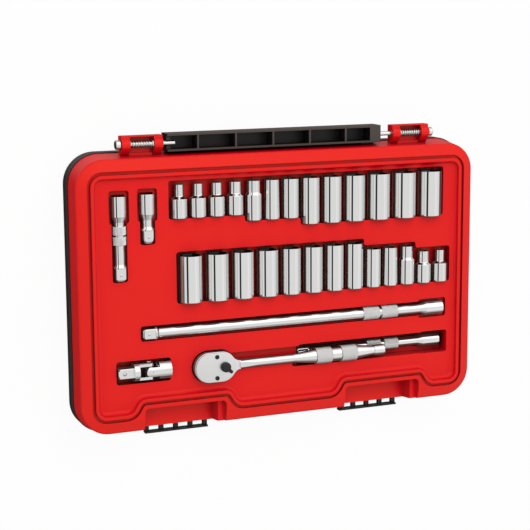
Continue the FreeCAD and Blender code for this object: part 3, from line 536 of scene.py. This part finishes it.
def loftVerts(rings, place, loop, capStart, capEnd):
    count = len(rings[0][1])
    verts = [place @ Vector((a, b, h)) for h, ring in rings for a, b in ring]
    faces = []
    last = len(rings) if loop else len(rings) - 1
    for i in range(last):
        low = i * count
        high = (i + 1) % len(rings) * count
        for k in range(count):
            n = (k + 1) % count
            faces.append((low + k, low + n, high + n, high + k))
    if capStart:
        faces.append(tuple(range(count))[::-1])
    if capEnd:
        base = (len(rings) - 1) * count
        faces.append(tuple(base + k for k in range(count)))
    return verts, faces


def loft(name, rings, place, look, loop=False, capStart=False, capEnd=False, bore=None):
    # bore is the first ring of the inside, which is rougher and given a much darker steel colour than the
    # outside
    verts, faces = loftVerts(rings, place, loop, capStart, capEnd)
    piece = makePiece(name, verts, faces, look)
    if bore is not None:
        piece.data.materials.append(finish("boreSteel"))
        for face in piece.data.polygons:
            face.material_index = 1 if face.index >= bore * around else 0
    return piece


def stands(piece, body, node):
    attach(piece, body)
    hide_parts(node)


def joined(name, pieces):
    # one object from several, all at the origin
    work = bmesh.new()
    mats = []
    for piece in pieces:
        first = len(mats)
        mats += list(piece.data.materials)
        before = len(work.faces)
        work.from_mesh(piece.data)
        work.faces.ensure_lookup_table()
        for face in work.faces[before:]:
            face.material_index += first
    mesh = bpy.data.meshes.new(name)
    work.to_mesh(mesh)
    work.free()
    unique = []
    for mat in mats:
        if mat not in unique:
            unique.append(mat)
    index = [unique.index(mats[p.material_index]) for p in mesh.polygons]
    for mat in unique:
        mesh.materials.append(mat)
    mesh.polygons.foreach_set("material_index", index)
    for piece in pieces:
        old = piece.data
        bpy.data.objects.remove(piece)
        bpy.data.meshes.remove(old)
    whole = bpy.data.objects.new(name, mesh)
    bpy.context.scene.collection.objects.link(whole)
    return whole


# deep sockets

rowSockets = {
    "metricFlats": (5.5, 6, 7, 8, 9, 10, 11, 12, 13, 14, 15, 16, 17),
    "metricNoses": (8.0, 8.8, 9.6, 10.8, 12.2, 13.8, 16.0, 17.6, 18.8, 20.4, 21.8, 23.0, 23.0),
    "metricLengths": (30.5,) * 4 + (36.5,) * 3 + (43.0,) * 6,
    "metricStart": -101.1,
    "metricTop": 99.0,
    "inchFlats": tuple(25.4 * k / 32 for k in range(8, 21)),
    "inchNoses": (8.8, 10.6, 11.8, 14.0, 15.4, 17.0, 17.9, 18.6, 18.9, 20.3, 20.5, 21.4, 21.9),
    "inchLengths": (30.5,) * 2 + (36.5,) * 3 + (43.0,) * 8,
    "inchStart": -91.2,
    "inchBottom": -9.0,
    "pitch": 1.2,
    "height": 40.0,
}
squareHole = {"side": 9.685, "corner": 1.25, "depth": 12.0, "flare": 0.9, "flareCorner": 0.5}
socketForm = {
    "driveEnd": 15.0,
    "noseLength": 12.4,
    "endFlat": 1.6,       # ring at the drive end, and its edge
    "endRound": 0.9,
    "leastStep": 0.7,     # a smaller step between the ends has no shoulder
    "shoulder": (0.6, 1.6),
    "shoulderRound": (0.7, 1.2),
    "lip": 0.5,           # ring at the mouth
    "lipRound": 0.45,
    "lipGap": 0.15,
    "mouthRim": 0.1,
    "hexFit": 0.1,
    "mouthFlare": 0.3,
    "mouthDepths": (0.5, 1.0),
    "boreTaper": 1.5,     # from the hexagon to the square hole
    "throat": 0.5,
    "holeFlareDepth": 0.8,
}


def socketRings(flats, nose, length):
    form = socketForm
    base = max(nose, form["driveEnd"]) / 2
    tip = nose / 2
    mouth = (flats + form["hexFit"]) / math.sqrt(3)
    outer = [(base - form["endFlat"], 0, 0), (base, 0, form["endRound"])]
    if base - tip > form["leastStep"]:
        shoulder = length - form["noseLength"]
        outer.append((base, shoulder - form["shoulder"][0], form["shoulderRound"][0]))
        outer.append((tip, shoulder + form["shoulder"][1], form["shoulderRound"][1]))
    outer.append((tip, length, form["lipRound"]))
    outer.append((max(tip - form["lip"], mouth + form["lipGap"]), length, 0))
    rings = turnedRings(outer)
    bore = len(rings)
    hexagon = flats + form["hexFit"]
    side, corner, depth = (squareHole[key] for key in ("side", "corner", "depth"))
    throat = min(flats, side) - form["throat"]
    rings.append((length, roundRing(mouth + form["mouthRim"])))
    rings.append((length - form["mouthDepths"][0], hexRing(flats + form["mouthFlare"])))
    rings.append((length - form["mouthDepths"][1], hexRing(hexagon)))
    rings.append((depth + form["boreTaper"], hexRing(hexagon)))
    rings.append((depth, roundRing(throat / 2)))
    rings.append((depth, squareRing(side, corner)))
    rings.append((form["holeFlareDepth"], squareRing(side, corner)))
    rings.append((0, squareRing(side + squareHole["flare"], corner + squareHole["flareCorner"])))
    return rings, bore


def makeSockets():
    for row in ("metric", "inch"):
        flats = rowSockets[row + "Flats"]
        noses = rowSockets[row + "Noses"]
        lengths = rowSockets[row + "Lengths"]
        order = list(range(len(flats)))
        if row == "inch":
            order.reverse()
        x = rowSockets[row + "Start"]
        last = None
        for i in order:
            wide = max(noses[i], socketForm["driveEnd"])
            if last is not None:
                x += (last + wide) / 2 * rowSockets["pitch"]
            last = wide
            y = rowSockets["inchBottom"]
            if row == "metric":
                y = rowSockets["metricTop"] - lengths[i]
            place = setAt(x, y, rowSockets["height"], alongY)
            rings, bore = socketRings(flats[i], noses[i], lengths[i])
            node = "%s_socket_%02d" % (row, i + 1)
            piece = loft("%sSocket%02d" % (row, i + 1), rings, place, "chrome", loop=True, bore=bore)
            stands(piece, node, node)
    print("sockets made")


# knurled bands and coil springs come from node trees

def shapeTree(name, inputs):
    tree = bpy.data.node_groups.new(name, "GeometryNodeTree")
    tree.interface.new_socket("Geometry", in_out="OUTPUT", socket_type="NodeSocketGeometry")
    for label, kind, value in inputs:
        socket = tree.interface.new_socket(label, in_out="INPUT", socket_type=kind)
        if value is not None:
            socket.default_value = value
    return tree, tree.nodes.new("NodeGroupInput"), tree.nodes.new("NodeGroupOutput")


def endTree(tree, start, end, shape):
    whole = tree.nodes.new("GeometryNodeRealizeInstances")
    paint = tree.nodes.new("GeometryNodeSetMaterial")
    tree.links.new(shape, whole.inputs[0])
    tree.links.new(whole.outputs[0], paint.inputs["Geometry"])
    tree.links.new(start.outputs["Material"], paint.inputs["Material"])
    tree.links.new(paint.outputs[0], end.inputs["Geometry"])


def makeKnurlTree():
    # small pyramids in staggered rows round a bar, which runs along Z
    tree, start, end = shapeTree("gripKnurl", [
        ("Radius", "NodeSocketFloat", 6.0), ("Length", "NodeSocketFloat", 8.0),
        ("Count", "NodeSocketInt", 38), ("Rows", "NodeSocketInt", 17), ("Height", "NodeSocketFloat", 0.36),
        ("Spread", "NodeSocketFloat", 0.5), ("Material", "NodeSocketMaterial", None),
    ])
    link = tree.links.new
    count, rows = start.outputs["Count"], start.outputs["Rows"]
    points = tree.nodes.new("GeometryNodePoints")
    link(sums(tree, "MULTIPLY", count, rows), points.inputs["Count"])
    index = tree.nodes.new("GeometryNodeInputIndex").outputs[0]
    row = sums(tree, "FLOOR", sums(tree, "DIVIDE", sums(tree, "ADD", index, 0.5), count))
    column = sums(tree, "SUBTRACT", index, sums(tree, "MULTIPLY", row, count))
    stagger = sums(tree, "MULTIPLY", sums(tree, "MODULO", row, 2.0), 0.5)
    swept = sums(tree, "MULTIPLY", sums(tree, "ADD", column, stagger), 2 * math.pi)
    turn = sums(tree, "DIVIDE", swept, count)
    reached = sums(tree, "MULTIPLY", sums(tree, "ADD", row, 0.5), start.outputs["Length"])
    along = sums(tree, "DIVIDE", reached, rows)
    place = tree.nodes.new("ShaderNodeCombineXYZ")
    for kind, socket in (("COSINE", 0), ("SINE", 1)):
        link(sums(tree, "MULTIPLY", sums(tree, kind, turn), start.outputs["Radius"]), place.inputs[socket])
    link(along, place.inputs[2])
    link(place.outputs[0], points.inputs["Position"])
    lean = tree.nodes.new("ShaderNodeCombineXYZ")
    lean.inputs[1].default_value = math.pi / 2
    link(turn, lean.inputs[2])
    tooth = tree.nodes.new("GeometryNodeMeshCone")
    tooth.fill_type = "NONE"
    tooth.inputs["Vertices"].default_value = 4
    tooth.inputs["Radius Top"].default_value = 0.05
    link(start.outputs["Spread"], tooth.inputs["Radius Bottom"])
    link(start.outputs["Height"], tooth.inputs["Depth"])
    copies = tree.nodes.new("GeometryNodeInstanceOnPoints")
    link(points.outputs[0], copies.inputs["Points"])
    link(tooth.outputs["Mesh"], copies.inputs["Instance"])
    link(lean.outputs[0], copies.inputs["Rotation"])
    endTree(tree, start, end, copies.outputs[0])
    return tree


def makeCoilTree():
    # round wire wound along Z
    tree, start, end = shapeTree("coilSpring", [
        ("Turns", "NodeSocketFloat", 8.0), ("Radius", "NodeSocketFloat", 2.75),
        ("Length", "NodeSocketFloat", 19.0), ("Wire", "NodeSocketFloat", 0.55),
        ("Material", "NodeSocketMaterial", None),
    ])
    link = tree.links.new
    spiral = tree.nodes.new("GeometryNodeCurveSpiral")
    spiral.inputs["Resolution"].default_value = 36
    link(start.outputs["Turns"], spiral.inputs["Rotations"])
    link(start.outputs["Radius"], spiral.inputs["Start Radius"])
    link(start.outputs["Radius"], spiral.inputs["End Radius"])
    link(start.outputs["Length"], spiral.inputs["Height"])
    section = tree.nodes.new("GeometryNodeCurvePrimitiveCircle")
    section.inputs["Resolution"].default_value = 14
    link(start.outputs["Wire"], section.inputs["Radius"])
    tube = tree.nodes.new("GeometryNodeCurveToMesh")
    tube.inputs["Fill Caps"].default_value = True
    link(spiral.outputs[0], tube.inputs["Curve"])
    link(section.outputs[0], tube.inputs["Profile Curve"])
    endTree(tree, start, end, tube.outputs[0])
    return tree


def fromTree(name, tree, values, place, look, smooth=smoothAngle):
    maker = bpy.data.objects.new(name + "Maker", bpy.data.meshes.new(name + "Maker"))
    bpy.context.scene.collection.objects.link(maker)
    modifier = maker.modifiers.new("shape", "NODES")
    modifier.node_group = tree
    items = [item for item in tree.interface.items_tree if item.in_out == "INPUT"]
    sockets = {item.name: item.identifier for item in items}
    for label, value in values.items():
        modifier[sockets[label]] = value
    modifier[sockets["Material"]] = finish(look)
    ready = maker.evaluated_get(bpy.context.evaluated_depsgraph_get())
    mesh = bpy.data.meshes.new_from_object(ready)
    maker.modifiers.remove(modifier)
    blank = maker.data
    bpy.data.objects.remove(maker)
    bpy.data.meshes.remove(blank)
    mesh.transform(Matrix.Scale(mm, 4) @ place)
    return intoScene(name, mesh, smooth)


knurlForm = {"sink": 0.06, "spread": 0.5, "smooth": 20.0}


def knurl(name, radius, start, length, place, pitch=1.0, height=0.24):
    values = {
        "Radius": radius + height / 2 - knurlForm["sink"],
        "Length": length,
        "Count": round(2 * math.pi * radius / pitch),
        "Rows": round(2 * length / pitch),
        "Height": height,
        "Spread": pitch * knurlForm["spread"],
    }
    spot = place @ Matrix.Translation((0, 0, start))
    return fromTree(name, trees["knurl"], values, spot, "satinSteel", knurlForm["smooth"])


# extension bars

extensionBars = {
    "drive": 11.5,        # length of the square drive
    "driveSink": 0.8,
    "square": 9.525,
    "squareCorner": 1.0,
    "core": 4.0,
    "collar": 6.2,
    "collarLength": 1.2,
    "collarEnd": 3.6,
    "shaft": 4.7,
    "band": 6.0,          # under the knurl
    "bandEdge": (0.1, 0.3),
    "bandRound": 0.2,
    "end": 6.9,
    "endLength": 19.0,
    "endCone": 4.5,
    "endStep": (0.4, 0.9),
    "endRim": 0.95,
    "mouthDepth": 0.6,
    # height, width and corner round of the square drive's tip; the stub's is barrelled
    "tip": ((0, 7.4, 2.1), (0.25, 7.9, 2.2), (1.1, 8.9, 2.0), (2.0, 9.525, 1.1), (2.3, 9.525, 1.0)),
    "barrelTip": ((0, 6.4, 1.9), (0.5, 7.3, 2.0), (1.6, 8.5, 1.9), (3.2, 9.3, 1.5), (5.0, 9.525, 1.1)),
    "bars": {
        "small": {"at": (-157.6, 15.2, 40.0), "way": alongY, "length": 76.2,
                  "bands": ((32.4, 40.6), (41.5, 49.7)), "tip": "tip"},
        "stub": {"at": (-131.3, 47.7, 40.0), "way": alongY, "length": 44.5, "bands": (), "tip": "barrelTip"},
        "middle": {"at": (16.3, -69.3, 28.8), "way": alongX, "length": 152.4,
                   "bands": ((74.0, 89.2), (92.8, 108.0)), "tip": "tip"},
        "long": {"at": (-138.2, -35.0, 40.0), "way": alongX, "length": 304.8,
                 "bands": ((219.6, 236.8), (239.0, 256.2)), "tip": "tip"},
    },
}


def squareDrive(name, place, tip):
    bar = extensionBars
    steps = [*bar[tip], (bar["drive"] + bar["driveSink"], bar["square"], bar["squareCorner"])]
    rings = [(h, squareRing(wide, corner)) for h, wide, corner in steps]
    return loft(name, rings, place, "chrome", capStart=True, capEnd=True)


def barRings(length, bands):
    bar = extensionBars
    first = bar["drive"]
    neck = length - bar["endLength"]
    line = [
        (bar["core"], first, 0),
        (bar["collar"], first, 0.4),
        (bar["collar"], first + bar["collarLength"], 0.5),
        (bar["shaft"], first + bar["collarEnd"], 1.5),
    ]
    outside, inside = bar["bandEdge"]
    for start, stop in bands:
        line += [
            (bar["shaft"], start - outside, bar["bandRound"]),
            (bar["band"], start + inside, bar["bandRound"]),
            (bar["band"], stop - inside, bar["bandRound"]),
            (bar["shaft"], stop + outside, bar["bandRound"]),
        ]
    line += [
        (bar["shaft"], neck - bar["endCone"], 2.5),
        (bar["end"] - bar["endStep"][0], neck, 1.2),
        (bar["end"], neck + bar["endStep"][1], 0.8),
        (bar["end"], length, 0.8),
        (bar["end"] - bar["endRim"], length, 0),
    ]
    rings = turnedRings(line)
    bore = len(rings)
    side, corner, depth = (squareHole[key] for key in ("side", "corner", "depth"))
    rings.append((length, squareRing(side + squareHole["flare"], corner + squareHole["flareCorner"])))
    rings.append((length - bar["mouthDepth"], squareRing(side, corner)))
    rings.append((length - depth, squareRing(side, corner)))
    return rings, bore


def makeExtensions():
    inside = extensionBars["bandEdge"][1]
    for label, bar in extensionBars["bars"].items():
        place = setAt(*bar["at"], bar["way"])
        rings, bore = barRings(bar["length"], bar["bands"])
        shells = [loft(label + "Bar", rings, place, "chrome", capStart=True, capEnd=True, bore=bore)]
        shells.append(squareDrive(label + "Square", place, bar["tip"]))
        for start, stop in bar["bands"]:
            length = stop - start - 2 * inside
            shells.append(knurl(label + "Band", extensionBars["band"], start + inside, length, place))
        whole = joined("extension" + label.capitalize(), shells)
        stands(whole, "extension_" + label, "extension_" + label)
    print("extension bars made")


# ratchet

ratchetTool = {
    "place": (-76.6, -71.0, 43.0),
    "headRadius": 14.2,
    "stretch": 12.0,
    "neck": 4.1,
    "sweep": 9.0,
    "low": -7.4,
    "high": 4.6,
    "lowSlope": 16.0,     # run of the underside's rise to the neck
    "highSlope": 4.5,
    "neckHalf": 3.6,
    "lowRound": 1.6,
    "highRound": 0.5,
    "steps": (16, 4, 8, 10),  # points along the head's end, side, shoulder and neck
    "plate": {"thick": 1.8, "inset": 0.5, "centre": 6.0, "reach": 20.5, "lowRound": 0.05, "highRound": 0.35},
    "handle": {
        "root": 31.0,         # a rounded block from here, a round bar from the next
        "round": 52.0,
        "overlap": 0.6,
        "corner": 1.6,
        "steps": 12,
        "radius": 4.1,
        "swell": 85.1,
        "swellRound": 30,
        "waist": 6.6,
        "waistEdge": 0.2,
        "grip": 107.1,
        "gripLength": 16.7,
        "gap": 9.5,
        "knurl": 7.4,
        "knurlEdge": 0.5,
        "knurlPitch": 1.1,
        "knurlHeight": 0.26,
        "tail": 168.4,
        "tailRadius": 4.4,
        "cap": 5.0,
        "capEdge": 0.5,
        "end": 180.1,
        "endFlat": 1.0,
    },
    "lever": {
        "along": 14.9,
        "rise": 6.7,
        "turn": -42.0,
        # radius, height and edge round
        "knob": ((4.4, 0, 0), (4.8, 0.3, 0.3), (4.6, 2.7, 0.9), (3.2, 3.4, 2.0), (0.4, 3.45, 0)),
        "stem": ((2.2, -7.0, 0), (2.2, 0.2, 0)),
        # reach, half width and height
        "nose": ((0.0, 1.9, 2.8), (4.2, 1.8, 2.7), (5.6, 1.6, 2.5),
                 (7.4, 1.6, 2.3), (8.3, 1.3, 1.9), (8.7, 0.7, 1.3)),
        "noseRound": 0.7,
        "noseShare": 0.6,
    },
    "screws": {
        "along": 6.9,
        "across": 10.0,
        "flats": 1.9,
        "profile": ((2.1, -0.4, 0), (2.1, 0.6, 0.25), (2.1 * 0.62, 0.6, 0)),
        "recess": (0.5, 0.12),  # top and floor of the hexagon in a head
    },
}


def headHalf(inset):
    # one side of the head's outline, from its round end to the neck
    tool = ratchetTool
    radius = tool["headRadius"] - inset
    half = tool["neck"] - inset
    sweep = tool["sweep"] + inset
    reach = tool["headRadius"] + tool["sweep"]
    run = math.sqrt(reach ** 2 - (tool["neck"] + tool["sweep"]) ** 2)
    stretch = tool["stretch"]
    lean = math.atan2(half + sweep, run)
    endSteps, sideSteps, shoulderSteps, neckSteps = tool["steps"]
    line = []
    for k in range(1, endSteps + 1):
        turn = math.pi - math.pi / 2 * k / endSteps
        line.append((radius * math.cos(turn), radius * math.sin(turn)))
    line += [(stretch * k / sideSteps, radius) for k in range(1, sideSteps + 1)]
    for k in range(1, shoulderSteps + 1):
        turn = math.pi / 2 + (lean - math.pi / 2) * k / shoulderSteps
        line.append((stretch + radius * math.cos(turn), radius * math.sin(turn)))
    for k in range(1, neckSteps + 1):
        turn = lean + math.pi + (math.pi / 2 - lean) * k / neckSteps
        line.append((stretch + run + sweep * math.cos(turn), half + sweep + sweep * math.sin(turn)))
    return (-radius, 0), line


def ringOf(tip, line, shape):
    # closed ring: the tip, one side, across the end, and back along the other side
    end = line[-1]
    across = [(end[0], end[1] * share) for share in (0.5, 0.0, -0.5)]
    flat = [tip] + line + across + [(x, -y) for x, y in reversed(line)]
    return [shape(x, y) for x, y in flat]


def skinRings(rings, place, closeEnds):
    count = len(rings[0])
    verts = [place @ Vector(v) for ring in rings for v in ring]
    faces = []
    for i in range(len(rings) - 1):
        for k in range(count):
            n = (k + 1) % count
            faces.append((i * count + k, i * count + n, (i + 1) * count + n, (i + 1) * count + k))
    if closeEnds:
        # strips across the outline, which is even on both sides
        half = (count - 4) // 2
        for base in (0, (len(rings) - 1) * count):
            left = [base + 1 + k for k in range(half)]
            right = [base + count - 1 - k for k in range(half)]
            faces.append((base, left[0], right[0]))
            for k in range(half - 1):
                faces.append((left[k], left[k + 1], right[k + 1], right[k]))
            faces.append((left[-1], base + half + 1, base + half + 2, base + half + 3, right[-1]))
    return verts, faces


def roundedLevels(height, lowRound, highRound, steps=5):
    levels = []
    for k in range(steps + 1):
        turn = math.pi / 2 * k / steps
        levels.append((lowRound * (1 - math.cos(turn)), lowRound * (1 - math.sin(turn))))
    for k in range(steps + 1):
        turn = math.pi / 2 * (1 - k / steps)
        levels.append((height - highRound * (1 - math.cos(turn)), highRound * (1 - math.sin(turn))))
    return levels


def easeStep(value):
    value = min(max(value, 0.0), 1.0)
    return value * value * (3 - 2 * value)


def makeRatchetHead(place):
    tool = ratchetTool
    height = tool["high"] - tool["low"]
    reach = tool["headRadius"] + tool["sweep"]
    neckPlace = tool["stretch"] + math.sqrt(reach ** 2 - (tool["neck"] + tool["sweep"]) ** 2)
    rings = []
    for level, inset in roundedLevels(height, tool["lowRound"], tool["highRound"]):
        share = level / height

        def shape(x, y):
            bottom = easeStep((x - neckPlace + tool["lowSlope"]) / tool["lowSlope"])
            top = easeStep((x - neckPlace + tool["highSlope"]) / tool["highSlope"])
            low = tool["low"] + (-tool["neckHalf"] - tool["low"]) * bottom
            high = tool["high"] + (tool["neckHalf"] - tool["high"]) * top
            return (x, y, low + (high - low) * share)

        rings.append(ringOf(*headHalf(inset), shape))
    verts, faces = skinRings(rings, place, True)
    return makePiece("ratchetHead", verts, faces, "chrome")


def makeRatchetHandle(place):
    grip = ratchetTool["handle"]
    half = ratchetTool["neckHalf"]
    radius = grip["radius"]
    steps = grip["steps"]
    edge = grip["knurlEdge"]
    rings = []
    for k in range(steps + 1):
        share = easeStep(k / steps)
        tall = half + (radius - half) * share
        corner = grip["corner"] + (tall - grip["corner"]) * share
        along = grip["root"] - grip["overlap"] + (grip["round"] - grip["root"]) * k / steps
        rings.append((along, blockRing(radius, tall, corner)))
    first = grip["grip"]
    starts = (first, first + grip["gripLength"] + grip["gap"])
    line = [
        (radius, grip["round"], 0),
        (radius, grip["swell"], grip["swellRound"]),
        (grip["waist"], first - grip["waistEdge"], 0.8),
    ]
    for start in starts:
        stop = start + grip["gripLength"]
        line += [
            (grip["waist"], start, 0.2),
            (grip["knurl"], start + edge, 0.3),
            (grip["knurl"], stop - edge, 0.3),
            (grip["waist"], stop, 0.3),
        ]
    line += [
        (grip["tailRadius"], grip["tail"], 0.5),
        (grip["cap"], grip["tail"] + grip["capEdge"], 0.4),
        (grip["cap"], grip["end"], 1.1),
        (grip["endFlat"], grip["end"], 0),
    ]
    rings += turnedRings(line)
    lying = place @ alongX
    shells = [loft("ratchetHandle", rings, lying, "chrome", capStart=True, capEnd=True)]
    length = grip["gripLength"] - 2 * edge
    for start in starts:
        shells.append(knurl("gripKnurl", grip["knurl"], start + edge, length, lying,
                            grip["knurlPitch"], grip["knurlHeight"]))
    return shells


def makePlate(place):
    plate = ratchetTool["plate"]
    base = ratchetTool["high"]
    centre = plate["centre"]

    def onPlate(level):
        def shape(x, y):
            away = math.hypot(x - centre, y)
            pull = min(1.0, plate["reach"] / away)
            return (centre + (x - centre) * pull, y * pull, base + level)
        return shape

    rings = []
    for level, inset in roundedLevels(plate["thick"], plate["lowRound"], plate["highRound"], steps=3):
        rings.append(ringOf(*headHalf(plate["inset"] + inset), onPlate(level)))
    verts, faces = skinRings(rings, place, True)
    stands(makePiece("ratchetPlate", verts, faces, "plateSteel"), "ratchet", "ratchet_plate")


def makeScrews(place):
    screws = ratchetTool["screws"]
    top = ratchetTool["high"] + ratchetTool["plate"]["thick"]
    heads = []
    for side in (-1, 1):
        spot = place @ Matrix.Translation((screws["along"], side * screws["across"], top))
        rings = turnedRings(screws["profile"])
        rings += [(level, hexRing(screws["flats"])) for level in screws["recess"]]
        heads.append(loft("plateScrew", rings, spot, "blackSteel", capStart=True, capEnd=True))
    stands(joined("plateScrews", heads), "ratchet", "ratchet_screws")


def makeLever(place):
    lever = ratchetTool["lever"]
    turn = Matrix.Rotation(math.radians(lever["turn"]), 4, "Z")
    spot = place @ setAt(lever["along"], 0, lever["rise"], turn)
    knob = turnedRings(lever["knob"])
    parts = [loft("leverKnob", knob, spot, "blackPlastic", capStart=True, capEnd=True)]
    nose = []
    for reach, half, high in lever["nose"]:
        corner = min(lever["noseRound"], half * lever["noseShare"])
        nose.append([(reach, a, high / 2 + b) for a, b in blockRing(half, high / 2, corner)])
    verts, faces = skinRings(nose, spot, False)
    count = len(nose[0])
    faces.append(tuple(range(count)))
    faces.append(tuple((len(nose) - 1) * count + k for k in range(count)))
    parts.append(makePiece("leverNose", verts, faces, "blackPlastic"))
    stem = turnedRings(lever["stem"])
    parts.append(loft("leverStem", stem, spot, "blackPlastic", capStart=True, capEnd=True))
    stands(joined("reversingLever", parts), "lever", "reversing_lever")


def makeRatchet():
    place = Matrix.Translation(ratchetTool["place"])
    body = joined("ratchetBody", [makeRatchetHead(place)] + makeRatchetHandle(place))
    stands(body, "ratchet", "ratchet_body")
    makePlate(place)
    makeScrews(place)
    makeLever(place)
    print("ratchet made")


# springs of the pull-out hinge pins

hingeSprings = {
    "axis": (135.9, 33.5),
    "start": 124.35,
    "length": 19.3,
    "turns": 8.0,
    "radius": 2.75,
    "wire": 1.1,
    "farLug": 144.5,      # the end that stays put when a pin is pulled
    "travel": 8.0,
}


def makeSprings():
    coil = hingeSprings
    y, z = coil["axis"]
    values = {"Turns": coil["turns"], "Radius": coil["radius"], "Length": coil["length"],
              "Wire": coil["wire"] / 2}
    for label, side in (("left", -1), ("right", 1)):
        spot = setAt(side * coil["start"], y, z, Matrix.Rotation(math.radians(90 * side), 4, "Y"))
        spring = fromTree("hingeSpring" + label.capitalize(), trees["coil"], values, spot, "springSteel")
        stands(spring, "tray", "hinge_spring_" + label)
        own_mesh(spring)
    print("springs made")


makeCamera()
makeRoom()
makeKey()
makeFloor()
groups = {"grain": makeGrainGroup(), "scuff": makeScuffGroup()}
trees = {"knurl": makeKnurlTree(), "coil": makeCoilTree()}
makeSockets()
makeExtensions()
makeRatchet()
makeSprings()

slotLooks = {
    "red_plastic": "redPlastic",
    "dark_plastic": "darkPlastic",
    "black_plastic": "blackPlastic",
    "chrome_steel": "chrome",
    "spring_steel": "springSteel",
    "satin_steel": "satinSteel",
    "black_steel": "blackSteel",
}
for part in frame["record"]["subparts"]:
    solid = nodes[part["node"]]
    solid.data.materials.clear()
    solid.data.materials.append(finish(slotLooks[part["material_slot"]]))
print("finishes set")
